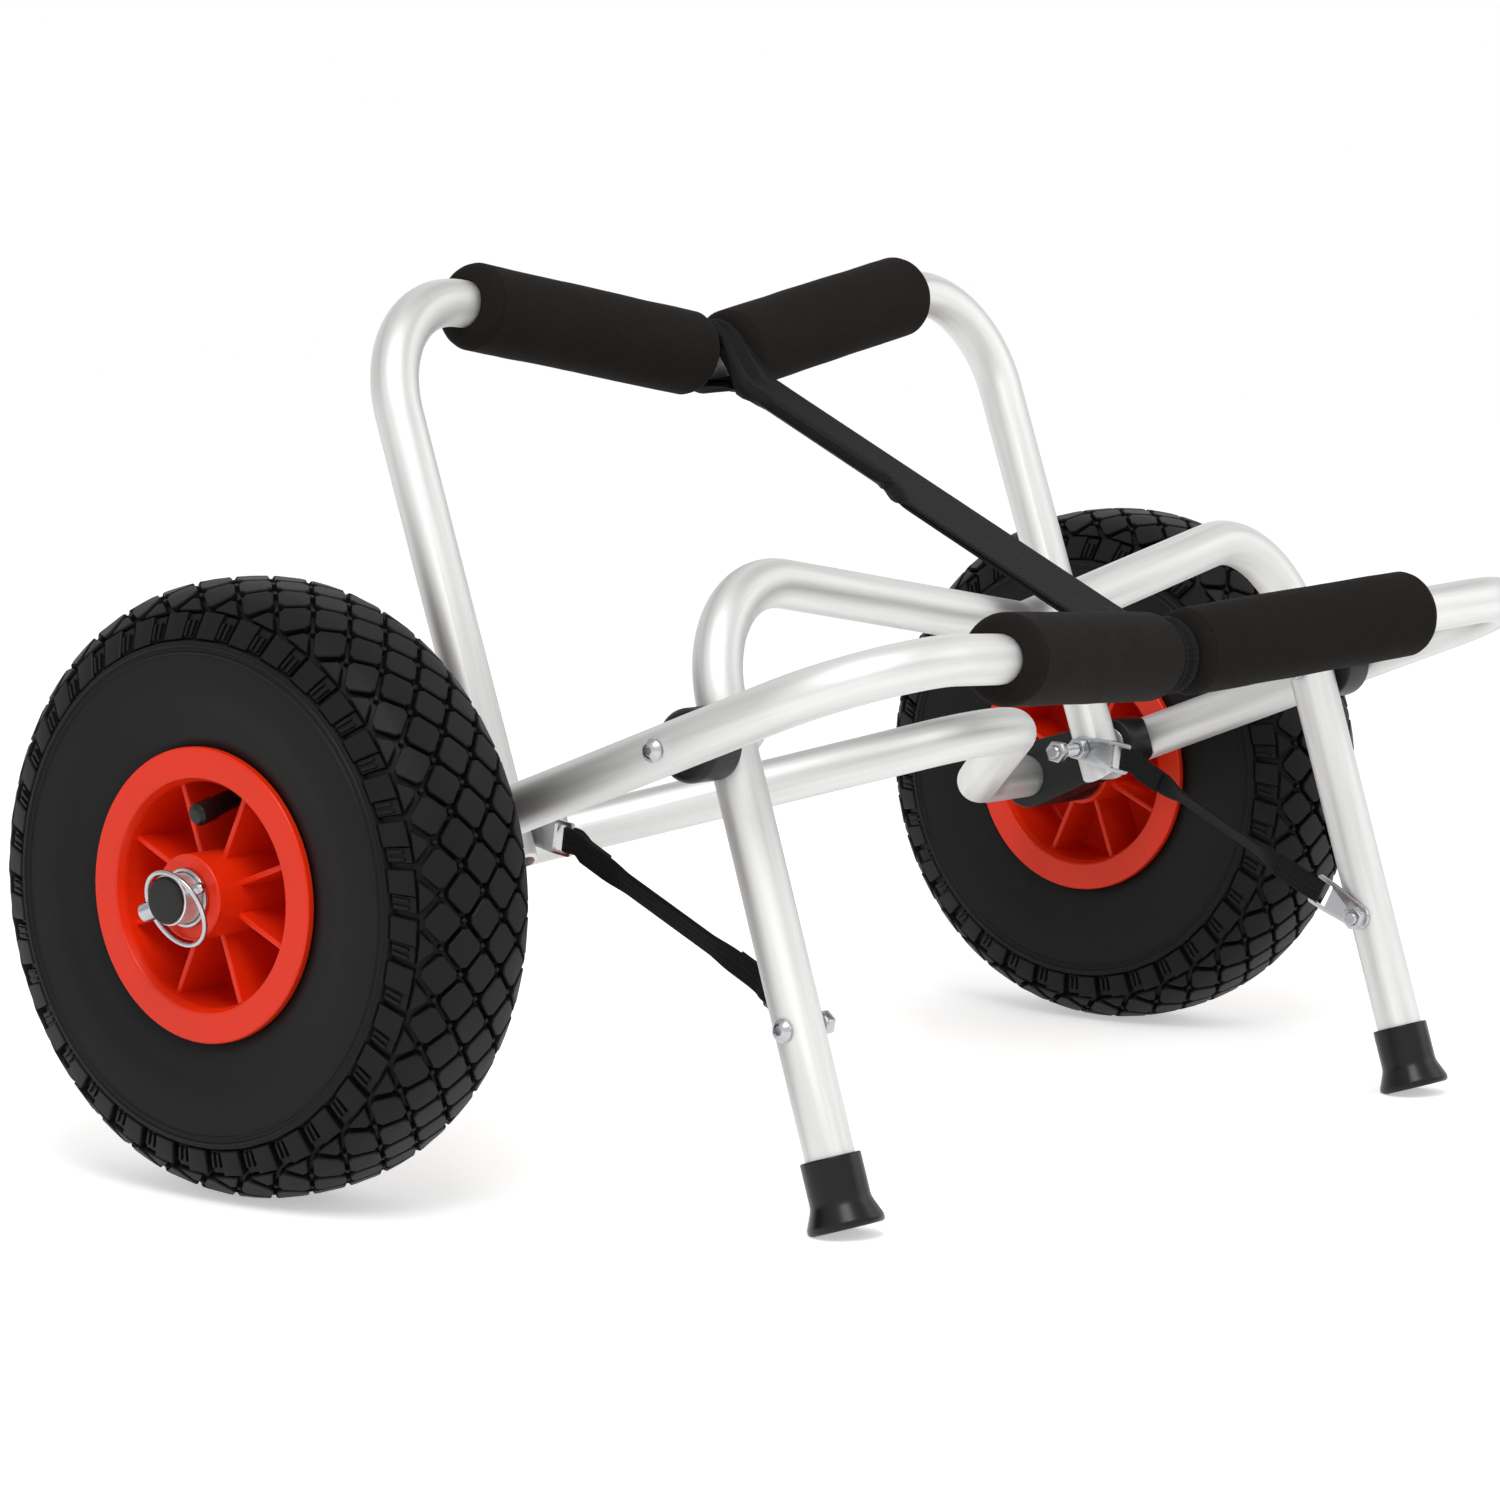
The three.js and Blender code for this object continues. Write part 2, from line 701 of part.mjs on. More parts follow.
// Cradle strap: joins the middles of the two V-shaped bars and stops the rear frame's swing
function cradleStrap(length) {
  const veeRise = (cradleEyeWidth / 2) * ((frontCornerReach - frontVeeReach) / frontLegX);
  const inner = tubeRadius + veeRise + 2 * touchGap;
  const outer = inner + cradleStrapThickness;
  const half = cradleStrapThickness / 2;
  const eyes = [0, length].map((z) => {
    const eye = turnedX([
      [inner, -cradleEyeWidth / 2],
      [outer, -cradleEyeWidth / 2],
      [outer, cradleEyeWidth / 2],
      [inner, cradleEyeWidth / 2],
    ], roundSides);
    return eye.translate(0, 0, z);
  });
  const neckRun = length - inner - outer;
  const neck = new THREE.BoxGeometry(cradleEyeWidth, 2 * half, neckRun);
  neck.translate(0, 0, inner + half + neckRun / 2);
  const bandRun = length - 2 * cradleStrapStandoff;
  const band = new THREE.BoxGeometry(cradleStrapWidth, 2 * half, bandRun);
  band.translate(0, 0, length / 2);
  return join(eyes[0], eyes[1], neck, band);
}
const frontVee = new THREE.Vector2(
  -frontVeeReach * Math.sin(frontLean),
  wheelRadius + frontVeeReach * Math.cos(frontLean),
);
const rearVee = new THREE.Vector2(-Math.sin(rearLean), Math.cos(rearLean));
rearVee.multiplyScalar(rearVeeReach).add(upperBolt);
const cradleRun = rearVee.clone().sub(frontVee);
const strapMesh = addMesh(cart, 'cradle_strap', cradleStrap(cradleRun.length()), webbing);
strapMesh.position.set(0, frontVee.x, frontVee.y);
strapMesh.rotation.x = -Math.atan2(cradleRun.x, cradleRun.y);

// Wheels, authored with +X pointing away from the cart
const beadX = rimFlangeX - rimFlangeThickness - touchGap;
const tyreHalf = tyreWidth / 2;
const tyreMiddleRadius = (wheelRadius + rimSeatRadius) / 2;
const tyreHalfDepth = (wheelRadius - rimSeatRadius) / 2;

const tyrePhase = Math.PI / tyreSides;
const crownDrop = (tyreWall - treadWall) / 2;
const cavityHalf = tyreHalf - tyreWall;
const cavityHalfDepth = tyreHalfDepth - (tyreWall + treadWall) / 2;

// A rounded-square arc over a wheel's section, from one side wall's foot to the other's
function tyreArc(halfWidth, halfDepth, crown, count) {
  const points = [];
  for (let i = 0; i <= count; i += 1) {
    const angle = -Math.PI / 4 + (1.5 * Math.PI * i) / count;
    const across = Math.sign(Math.cos(angle)) * Math.abs(Math.cos(angle)) ** tyreShoulderPower;
    const up = Math.sign(Math.sin(angle)) * Math.abs(Math.sin(angle)) ** tyreShoulderPower;
    points.push([tyreMiddleRadius + crown + halfDepth * up, halfWidth * across]);
  }
  return points;
}

// Turns a wheel's section so that the middles of its facets have the section's radii
function tyreRing(section) {
  const stretched = section.map(([radius, x]) => [radius / Math.cos(tyrePhase), x]);
  return turnedX(stretched, tyreSides, tyrePhase);
}

function tyre() {
  const seat = rimSeatRadius + touchGap;
  const outer = tyreArc(tyreHalf, tyreHalfDepth, 0, tyreArcSteps);
  const inner = tyreArc(cavityHalf, cavityHalfDepth, crownDrop, cavityArcSteps);
  return tyreRing([
    [seat, beadX - beadWidth],
    [seat, beadX],
    ...outer,
    [seat, -beadX],
    [seat, beadWidth - beadX],
    ...inner.reverse(),
  ]);
}

// Inner tube: a thin ring shell against the tyre's inside, with a hole where the valve enters
function tubeSection(inset) {
  return tyreArc(cavityHalf - inset, cavityHalfDepth - inset, crownDrop, cavityArcSteps);
}
const innerTubeBase = Math.min(...tubeSection(touchGap).map(([radius]) => radius));

function innerTube() {
  const mouthDepth = 2 * innerTubeWall;
  const mouth = new THREE.CylinderGeometry(boltRadius, boltRadius, 2 * mouthDepth, smallSides);
  mouth.rotateX(Math.PI / 2).translate(valveRootX, 0, innerTubeBase).rotateX(valveAngle);
  return cut(tyreRing(tubeSection(touchGap)), tyreRing(tubeSection(touchGap + innerTubeWall)), mouth);
}

// Rim: barrel, web and hub in one profile, with ribs on both faces of the web
function rim() {
  const bore = tubeRadius + touchGap;
  const flangeBack = rimFlangeX - rimFlangeThickness;
  const profile = [
    [bore, hubInnerX],
    [hubRadius, hubInnerX],
    [hubRadius, rimWebX],
    [rimBarrelRadius, rimWebX],
    [rimBarrelRadius, -flangeBack],
    [rimFlangeInnerRadius, -rimFlangeX],
    [rimFlangeRadius, -rimFlangeX],
    [rimFlangeRadius, -flangeBack],
    [rimSeatRadius, -flangeBack],
    [rimSeatRadius, flangeBack],
    [rimFlangeRadius, flangeBack],
    [rimFlangeRadius, rimFlangeX],
    [rimFlangeInnerRadius, rimFlangeX],
    [rimBarrelRadius, flangeBack],
    [rimBarrelRadius, rimWebX + rimWebThickness],
    [hubRadius, rimWebX + rimWebThickness],
    [hubRadius, hubOuterX],
    [bore, hubOuterX],
  ];
  const body = turnedX(profile, rimSides);
  const root = hubRadius - ribThickness / 2;
  const tip = rimBarrelRadius + ribThickness / 2;
  const ribOutline = new THREE.Shape([
    new THREE.Vector2(-ribEdgeX, root),
    new THREE.Vector2(ribEdgeX, root),
    new THREE.Vector2(ribEdgeX, tip),
    new THREE.Vector2(-ribEdgeX, tip),
  ]);
  const ribs = [];
  for (let i = 0; i < ribCount; i += 1) {
    const rib = new THREE.ExtrudeGeometry(ribOutline, { depth: ribThickness, bevelEnabled: false });
    const turn = ribTurn + (2 * Math.PI * i) / ribCount;
    rib.translate(0, 0, -ribThickness / 2).rotateX(Math.PI / 2 + turn);
    ribs.push(rib);
  }
  const valveHole = new THREE.CylinderGeometry(
    valveRadius + touchGap,
    valveRadius + touchGap,
    rimFlangeRadius,
    smallSides,
  );
  valveHole.rotateX(Math.PI / 2).translate(valveRootX, 0, rimSeatRadius).rotateX(valveAngle);
  return cut(join(body, ...ribs), valveHole);
}

// Valve: a bent rubber stem out of the barrel that leans in towards the hub, with its cap
function valve() {
  const top = new THREE.Vector3(valveRootX, 0, innerTubeBase - touchGap);
  const corner = new THREE.Vector3(valveRootX, 0, valveStemRadius);
  const tip = new THREE.Vector3(valveTipX, 0, valveTipRadius);
  const stem = tubeAlong(roundedPath([top, corner, tip], [valveBendRadius]), valveRadius, 0, boreSides);
  const capStart = corner.clone().sub(tip).setLength(valveCapLength).add(tip);
  const cap = tubeAlong(roundedPath([capStart, tip], []), valveCapRadius, 0, boreSides);
  return join(stem, cap).rotateX(valveAngle);
}

for (const { name, sign } of sides) {
  const wheel = new THREE.Group();
  wheel.position.set(sign * halfTrack, 0, wheelRadius);
  cart.add(wheel);
  addMesh(wheel, `tyre_${name}`, onSide(tyre(), sign), rubber);
  addMesh(wheel, `inner_tube_${name}`, onSide(innerTube(), sign), rubber);
  addMesh(wheel, `rim_${name}`, onSide(rim(), sign), redPlastic);
  addMesh(wheel, `valve_${name}`, onSide(valve(), sign), rubber);
}

// Wheel retainers on the ends of the axle
function hubWasher() {
  const bore = tubeRadius + touchGap;
  return turnedX([
    [bore, washerX],
    [washerRadius, washerX],
    [washerRadius, washerX + washerThickness],
    [bore, washerX + washerThickness],
  ], roundSides);
}

// The pin lies along Y through the axle, its head on the -Y side before it is turned by lockTilt
const ringHingeY = -lockHeadStart - lockHeadLength / 2;
function lockPin() {
  const alongY = (radius, fromY, toY, count) => {
    const rod = new THREE.CylinderGeometry(radius, radius, toY - fromY, count);
    return rod.translate(0, (fromY + toY) / 2, 0);
  };
  const shank = alongY(lockPinRadius, -lockHeadStart - overrun, lockPinTip, smallSides);
  const head = alongY(lockHeadRadius, -lockHeadStart - lockHeadLength, -lockHeadStart, smallSides);
  const eyeRadius = ringWire + ringSag;
  const eye = new THREE.CylinderGeometry(eyeRadius, eyeRadius, 4 * lockHeadRadius, smallSides);
  eye.rotateX(Math.PI / 2).rotateY(ringTwist).rotateX(ringDroop).translate(0, ringHingeY, 0);
  return cut(join(shank, head), eye).translate(lockPinX, 0, 0);
}

function lockRing() {
  const ring = new THREE.TorusGeometry(ringRadius, ringWire, wireSides, ringSteps);
  ring.rotateY(Math.PI / 2).translate(0, ringRadius, 0).rotateZ(-ringLeanOut);
  return ring.rotateY(ringTwist).rotateX(ringDroop).translate(lockPinX, ringHingeY, 0);
}

// Plug: closes the axle's open end, with a hole for the lock pin
function axlePlug() {
  const stem = tubeBore * Math.cos(Math.PI / boreSides) - touchGap;
  const flange = tubeRadius - plugRim;
  const plug = turnedX([
    [0, axleEndX - plugStem],
    [stem, axleEndX - plugStem],
    [stem, axleEndX + touchGap],
    [flange, axleEndX + touchGap],
    [flange, axleEndX + plugFlange],
    [0, axleEndX + plugFlange],
  ], roundSides);
  return cut(plug, lockPinDrill());
}

for (const { name, sign } of sides) {
  addMesh(axleGroup, `hub_washer_${name}`, onSide(hubWasher(), sign), steel);
  addMesh(axleGroup, `lock_pin_${name}`, onSide(lockPin().rotateX(lockTilt), sign), steel);
  addMesh(axleGroup, `lock_ring_${name}`, onSide(lockRing().rotateX(lockTilt), sign), steel);
  addMesh(axleGroup, `axle_plug_${name}`, onSide(axlePlug(), sign), rubber);
}

// The origin is the middle of the cart's footprint, on the ground
const kayakCart = new THREE.Group();
kayakCart.add(cart);
kayakCart.updateMatrixWorld(true);
const footprint = new THREE.Box3().setFromObject(cart, true);
cart.position.y = -(footprint.min.y + footprint.max.y) / 2;

export default kayakCart;
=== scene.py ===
"""Surfaces, stage and camera of a folding kayak cart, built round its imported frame.

Metres, +Z up, X along the axle, the stand on the -Y side, the ground at Z = 0.
"""

import contextlib
import json
import math

import bmesh
import bpy
from bpy.props import FloatProperty, FloatVectorProperty, IntProperty, PointerProperty
from mathutils import Matrix, Vector, noise


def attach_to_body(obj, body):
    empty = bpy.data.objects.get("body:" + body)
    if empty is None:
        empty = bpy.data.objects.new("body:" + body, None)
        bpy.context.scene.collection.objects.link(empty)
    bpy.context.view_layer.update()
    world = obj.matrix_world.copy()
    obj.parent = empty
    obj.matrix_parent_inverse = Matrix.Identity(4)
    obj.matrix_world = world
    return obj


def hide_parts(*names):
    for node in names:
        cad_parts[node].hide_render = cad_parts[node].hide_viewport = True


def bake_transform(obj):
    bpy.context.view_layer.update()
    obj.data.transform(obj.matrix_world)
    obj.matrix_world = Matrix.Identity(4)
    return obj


bl_info = {
    "name": "Kayak Cart",
    "version": (1, 0, 0),
    "blender": (4, 5, 0),
    "location": "View3D > Sidebar > Kayak Cart",
    "description": "Builds a folding kayak cart with its finishes, floor, lamps and camera",
    "category": "Object",
}

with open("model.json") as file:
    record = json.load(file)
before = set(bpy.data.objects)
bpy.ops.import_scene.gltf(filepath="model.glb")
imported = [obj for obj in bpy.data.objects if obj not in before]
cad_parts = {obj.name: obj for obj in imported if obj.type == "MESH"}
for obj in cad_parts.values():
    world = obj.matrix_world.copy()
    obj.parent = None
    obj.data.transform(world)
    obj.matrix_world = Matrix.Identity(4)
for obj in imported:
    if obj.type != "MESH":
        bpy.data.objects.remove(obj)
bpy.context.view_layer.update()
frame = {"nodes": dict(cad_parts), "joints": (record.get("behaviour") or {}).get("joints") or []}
MM = 0.001

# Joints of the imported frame
JOINTS = {joint["name"]: joint for joint in frame["joints"]}
WHEEL = Vector(JOINTS["wheel_right_spin"]["pos_m"])
AXLE = Vector((0, WHEEL.y, WHEEL.z))
REAR_PIVOT = Vector(JOINTS["rear_frame_fold"]["pos_m"])
STAND_PIVOT = Vector(JOINTS["stand_fold"]["pos_m"])
REAR_REACH = (REAR_PIVOT - AXLE).length
STAND_REACH = (STAND_PIVOT - AXLE).length


def space(origin, lean):
    """The space of a frame whose legs run along its own +Z, leaning by an angle about X."""
    return Matrix.Translation(origin) @ Matrix.Rotation(lean, 4, "X")


FRONT_LEAN = math.atan2(AXLE.y - STAND_PIVOT.y, STAND_PIVOT.z - AXLE.z)
REAR_LEAN = math.radians(-19.6)
STAND_LEAN = math.radians(-18.1)
AXLE_LEAN = math.radians(70.6)
FRONT = space(AXLE, FRONT_LEAN)
REAR = space(REAR_PIVOT, REAR_LEAN)
STAND = space(STAND_PIVOT, STAND_LEAN)
ON_AXLE = Matrix.Translation(AXLE)
ON_WHEEL = Matrix.Translation(WHEEL)
AT_REAR_PIVOT = FRONT @ Matrix.Translation((0, 0, REAR_REACH))
AT_STAND_PIVOT = FRONT @ Matrix.Translation((0, 0, STAND_REACH))

# Places across the cart
FRONT_LEG_X = 258 * MM
REAR_LEG_X = 219 * MM
BRACKET_INNER_X = 231.6 * MM
BRACKET_END_X = 276.2 * MM
AXLE_END_X = 370 * MM
AXLE_KINK_X = 190 * MM
LOCK_PIN_X = 365 * MM
WASHER_X = 358.3 * MM

# Reaches along the legs, from each frame's pivot
FRONT_START = 45 * MM
FRONT_CORNER = 305 * MM
FRONT_DIP = 253 * MM
REAR_TAIL = 17 * MM
REAR_CORNER = 244 * MM
REAR_DIP = 205 * MM
STAND_CORNER = 73.5 * MM
STAND_DIP = 34.5 * MM
CLIP_BOLT_REACH = 121 * MM
AXLE_REACH = 173 * MM

# Clearances and roundness
TOUCH = 0.3 * MM
BEND_STEP = math.radians(4)
FILLET_STEP = math.radians(15)
ROUND_SIDES = 48
FINE_SIDES = 96
QUARTER = math.pi / 2
UPRIGHT = Matrix.Rotation(-QUARTER, 4, "Y")  # brings +X onto +Z
SLIVER = 0.03 * MM
FLAT_ENOUGH = math.radians(0.4)
SHARP = math.radians(40)


def linear(code):
    """An sRGB hex colour as linear red, green and blue, with full alpha."""
    channels = [int(code[i:i + 2], 16) / 255 for i in (1, 3, 5)]
    curve = [c / 12.92 if c <= 0.04045 else ((c + 0.055) / 1.055) ** 2.4 for c in channels]
    return (*curve, 1.0)


def length_setting(name, about, millimetres):
    """A length that a user can change."""
    return FloatProperty(name=name, description=about, default=millimetres * MM,
                         min=0.0, precision=4, subtype="DISTANCE", unit="LENGTH")


def colour_setting(name, about, code):
    """A colour that a user can change."""
    return FloatVectorProperty(name=name, description=about, default=linear(code),
                               min=0.0, max=1.0, size=4, subtype="COLOR")


class TubeSettings(bpy.types.PropertyGroup):
    """Sizes and colour of the frames' tubes."""
    diameter: length_setting("Diameter", "Outer diameter of every tube", 21)
    wall: length_setting("Wall", "Thickness of the tubes' walls", 1.6)
    bend_radius: length_setting("Corner radius", "Middle radius of the frames' corners", 50)
    dip_radius: length_setting("Dip radius", "Middle radius where a bar dips to its middle", 30)
    colour: colour_setting("Aluminium", "Colour of the tubes' metal", "#E3E3E2")


class PadSettings(bpy.types.PropertyGroup):
    """Sizes and colour of the foam pads."""
    diameter: length_setting("Diameter", "Outer diameter of a pad", 39.5)
    length: length_setting("Length", "Length of a pad along its bar", 152)
    gap: length_setting("Middle gap", "From the middle of a bar to the start of a pad", 10.5)
    edge: length_setting("Edge", "Radius of a pad's rounded ends", 7.5)
    unevenness: length_setting("Unevenness", "How far the foam's skin wanders", 0.3)
    colour: colour_setting("Foam", "Colour of the foam", "#191615")


class StrapSettings(bpy.types.PropertyGroup):
    """Sizes and colour of the webbing."""
    cradle_width: length_setting("Cradle strap width", "Width of the strap between the bars", 38)
    cradle_thickness: length_setting("Cradle strap thickness", "Thickness of one layer", 1.6)
    stand_width: length_setting("Stand strap width", "Width of the straps at the stand", 10.8)
    stand_thickness: length_setting("Stand strap thickness", "Thickness of one layer", 1.5)
    colour: colour_setting("Webbing", "Colour of the webbing", "#0B0B0C")


class TyreSettings(bpy.types.PropertyGroup):
    """Sizes and colour of the tyres."""
    pitches: IntProperty(name="Tread pitches", description="Tread patterns round a tyre",
                         default=36, min=12, max=72)
    tread_depth: length_setting("Tread depth", "Height of the tread blocks", 4)
    groove: length_setting("Groove", "Width of the grooves between the blocks", 4)
    colour: colour_setting("Tyre rubber", "Colour of the tyres", "#0B0B0B")


class RimSettings(bpy.types.PropertyGroup):
    """Sizes and colour of the rims."""
    rib_count: IntProperty(name="Ribs", description="Ribs between the hub and the barrel",
                           default=8, min=3, max=24)
    rib_thickness: length_setting("Rib thickness", "Thickness of a rib", 2.6)
    colour: colour_setting("Rim plastic", "Colour of the rims", "#F0300C")


class FittingSettings(bpy.types.PropertyGroup):
    """Sizes and colours of the fasteners and the moulded fittings."""
    bolt: length_setting("Bolt", "Diameter of the bolts", 6)
    bolt_head: length_setting("Bolt head", "Diameter of the bolts' heads", 10)
    nut: length_setting("Nut", "Width of a nut across its corners", 11)
    steel: colour_setting("Steel", "Colour of the plated steel", "#C3C5C8")
    nylon: colour_setting("Nylon", "Colour of the moulded fittings", "#0A0A0B")
    rubber: colour_setting("Rubber", "Colour of the caps, plugs and valves", "#0A0A0A")


class StageSettings(bpy.types.PropertyGroup):
    """Camera, lamps and floor."""
    camera_place: FloatVectorProperty(name="Camera place", description="Where the camera stands",
                                      default=(-1.8683, -1.4284, 0.4338), subtype="TRANSLATION")
    lens: FloatProperty(name="Lens", description="Focal length on a 36 mm sensor, in millimetres",
                        default=124.84, min=20)
    key_power: FloatProperty(name="Key lamp", description="Power of the key lamp in watts",
                             default=30, min=0)
    fill_power: FloatProperty(name="Fill lamp", description="Power of the fill lamp in watts",
                              default=12, min=0)
    floor: colour_setting("Floor", "Colour of the floor", "#F6F6F5")


def settings(group):
    """A settings group of the scene."""
    return getattr(bpy.context.scene, f"kayak_cart_{group}")


def tube_bore():
    """The radius of a bore that takes a tube with a little air."""
    return settings("tubes").diameter / 2 + TOUCH


def bolt_bore():
    """The radius of a bore that takes a bolt with a little air."""
    return settings("fittings").bolt / 2 + TOUCH


# Shapes

def bend(corner, before, after, radius, least_steps, step):
    """Places and headings on a round bend between two headings that meet in a corner."""
    turn = before.angle(after)
    start = corner - before * radius * math.tan(turn / 2)
    side = (after - before * math.cos(turn)) / math.sin(turn)
    steps = max(least_steps, math.ceil(turn / step))
    stations = []
    for k in range(steps + 1):
        angle = turn * k / steps
        place = start + before * radius * math.sin(angle) + side * radius * (1 - math.cos(angle))
        stations.append((place, before * math.cos(angle) + side * math.sin(angle)))
    return stations


def rounded_path(points, radii):
    """Points and headings along a line through the points, its corners rounded to the radii."""
    headings = [(b - a).normalized() for a, b in zip(points, points[1:])]
    stations = [(points[0], headings[0])]
    for corner, before, after, radius in zip(points[1:-1], headings, headings[1:], radii):
        stations += bend(corner, before, after, radius, 1, BEND_STEP)
    stations.append((points[-1], headings[-1]))
    return stations


def filleted(corners, closed=True):
    """Points of a flat outline, from corners that each give two coordinates and a fillet."""
    outline = []
    last = len(corners) - 1
    for i, (u, v, fillet) in enumerate(corners):
        here = Vector((u, v))
        if fillet == 0 or (not closed and i in (0, last)):
            outline.append(here)
            continue
        before = (here - Vector(corners[i - 1][:2])).normalized()
        after = (Vector(corners[(i + 1) % len(corners)][:2]) - here).normalized()
        outline += [place for place, heading in bend(here, before, after, fillet, 2, FILLET_STEP)]
    return outline


def full_turn(sides):
    """Angles evenly round a circle."""
    return [math.tau * k / sides for k in range(sides)]


def round_outline(radius, sides):
    """A flat outline of equal sides with its corners on a circle."""
    return [(radius * math.cos(angle), radius * math.sin(angle)) for angle in full_turn(sides)]


def eased(x_low, x_high, inner, outer, ease):
    """The outline of a washer about X, with every edge eased."""
    return filleted([(x_low, inner, ease), (x_low, outer, ease),
                     (x_high, outer, ease), (x_high, inner, ease)])


@contextlib.contextmanager
def opened(mesh):
    """A mesh's faces and edges to edit, which are written back to it at the end."""
    edited = bmesh.new()
    edited.from_mesh(mesh)
    yield edited
    edited.to_mesh(mesh)
    edited.free()


class Shell:
    """Points, faces and UVs of one mesh. UVs are lengths in metres."""

    def __init__(self):
        """Starts with no points and no faces."""
        self.points = []
        self.faces = []
        self.uvs = []

    def grid(self, rows, wrap_rows=False, wrap_columns=True):
        """Joins rows of points with quads: U runs from row to row, V along a row."""
        base = len(self.points)
        width = len(rows[0])
        for row in rows:
            self.points.extend(row)
        along = [0.0]
        for a, b in zip(rows, rows[1:] + rows[:1]):
            along.append(along[-1] + (b[0] - a[0]).length)
        widest = max(rows, key=lambda row: (row[0] - row[width // 2]).length)
        across = [0.0]
        for a, b in zip(widest, widest[1:] + widest[:1]):
            across.append(across[-1] + (b - a).length)
        for i in range(len(rows) - (not wrap_rows)):
            for j in range(width - (not wrap_columns)):
                low = base + i * width
                high = base + (i + 1) % len(rows) * width
                beside = (j + 1) % width
                self.faces.append([low + j, low + beside, high + beside, high + j])
                self.uvs.append([(along[i], across[j]), (along[i], across[j + 1]),
                                 (along[i + 1], across[j + 1]), (along[i + 1], across[j])])
        return base

    def cap(self, first, count):
        """Closes a ring of points with one face."""
        self.faces.append([first + k for k in range(count)])
        self.uvs.append([tuple(self.points[first + k].yz) for k in range(count)])

    def capped(self, rows):
        """Joins rings of points, and closes the first and the last ring."""
        base, count = self.grid(rows), len(rows[0])
        self.cap(base, count)
        self.cap(base + (len(rows) - 1) * count, count)

    def fan(self, first, count, tip):
        """Closes a ring of points with triangles to a tip."""
        self.points.append(tip)
        for k in range(count):
            corner = [first + k, first + (k + 1) % count, len(self.points) - 1]
            self.faces.append(corner)
            self.uvs.append([tuple(self.points[c].yz) for c in corner])

    def piece(self, name, matrix=Matrix.Identity(4)):
        """The mesh as an object, with its faces pointing out."""
        mesh = bpy.data.meshes.new(name)
        mesh.from_pydata([tuple(p) for p in self.points], [], self.faces)
        layer = mesh.uv_layers.new(name="UVMap")
        for polygon, corners in zip(mesh.polygons, self.uvs):
            for loop, uv in zip(polygon.loop_indices, corners):
                layer.data[loop].uv = uv
        mesh.transform(matrix)
        with opened(mesh) as edited:
            bmesh.ops.recalc_face_normals(edited, faces=edited.faces)
        made = bpy.data.objects.new(name, mesh)
        bpy.context.scene.collection.objects.link(made)
        return made


def swept(stations, binormal, radius, sides=ROUND_SIDES):
    """Rings of a round section along a flat path whose plane has the given normal."""
    rows = []
    for place, heading in stations:
        normal = binormal.cross(heading)
        rows.append([place + (normal * math.cos(angle) + binormal * math.sin(angle)) * radius
                     for angle in full_turn(sides)])
    return rows


def turned(outline, sides=FINE_SIDES, closed=True):
    """A shell of revolution about X from (x, radius) points. An open outline ends on the axis."""
    shell = Shell()
    rows = [[Vector((x, y, z)) for y, z in round_outline(radius, sides)]
            for x, radius in outline if radius > 0]
    if closed:
        shell.grid(rows, wrap_rows=True)
    else:
        shell.capped(rows)
    return shell


def lathed(corners, sides=FINE_SIDES):
    """A solid shell of revolution about X, from corners that start and end on the axis."""
    return turned(filleted(corners, closed=False), sides, closed=False)


def prism(outline, low_x, high_x):
    """A shell with a flat outline in Y and Z, drawn along X."""
    shell = Shell()
    shell.capped([[Vector((x, y, z)) for y, z in outline] for x in (low_x, high_x)])
    return shell


def rod(radius, low_x, high_x, sides=ROUND_SIDES):
    """A shell of a plain round bar along X, used to cut bores."""
    return prism(round_outline(radius, sides), low_x, high_x)


def settle(piece):
    """Applies a piece's modifiers."""
    bpy.context.view_layer.update()
    evaluated = piece.evaluated_get(bpy.context.evaluated_depsgraph_get())
    old = piece.data
    piece.data = bpy.data.meshes.new_from_object(evaluated)
    piece.modifiers.clear()
    bpy.data.meshes.remove(old)
    return piece


def combine(piece, operation, *tools):
    """Joins, cuts or keeps a piece with tools, and removes them."""
    for tool in tools:
        step = piece.modifiers.new("Combine", "BOOLEAN")
        step.operation = operation
        step.solver = "EXACT"
        step.object = tool
    settle(piece)
    for tool in tools:
        bpy.data.objects.remove(tool)
    # Slivers along the cuts would catch the light as specks
    with opened(piece.data) as edited:
        bmesh.ops.remove_doubles(edited, verts=edited.verts, dist=SLIVER)
        bmesh.ops.dissolve_degenerate(edited, edges=edited.edges, dist=SLIVER)
        bmesh.ops.dissolve_limit(edited, angle_limit=FLAT_ENOUGH, verts=edited.verts,
                                 edges=edited.edges)
    return piece


def soften(piece, width, segments=3):
    """Rounds a piece's sharp edges."""
    step = piece.modifiers.new("Soften", "BEVEL")
    step.width = width
    step.segments = segments
    step.limit_method = "ANGLE"
    step.angle_limit = SHARP
    return settle(piece)


def shade(piece, material, crease=38):
    """Gives a piece its material, with smooth faces and creases at its sharp edges."""
    piece.data.materials.clear()
    piece.data.materials.append(material)
    with opened(piece.data) as edited:
        for face in edited.faces:
            face.smooth = True
            face.material_index = 0
        for edge in edited.edges:
            edge.smooth = edge.calc_face_angle(0) < math.radians(crease)
    return piece


def attach(piece, body, slot, *nodes):
    """Lets a piece ride on a body, in the place of its CAD nodes."""
    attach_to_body(piece, body)
    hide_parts(*nodes)
    return piece


def flip(mesh):
    """Mirrors a mesh across the cart's middle plane."""
    mesh.transform(Matrix.Scale(-1, 4, (1, 0, 0)))
    mesh.flip_normals()


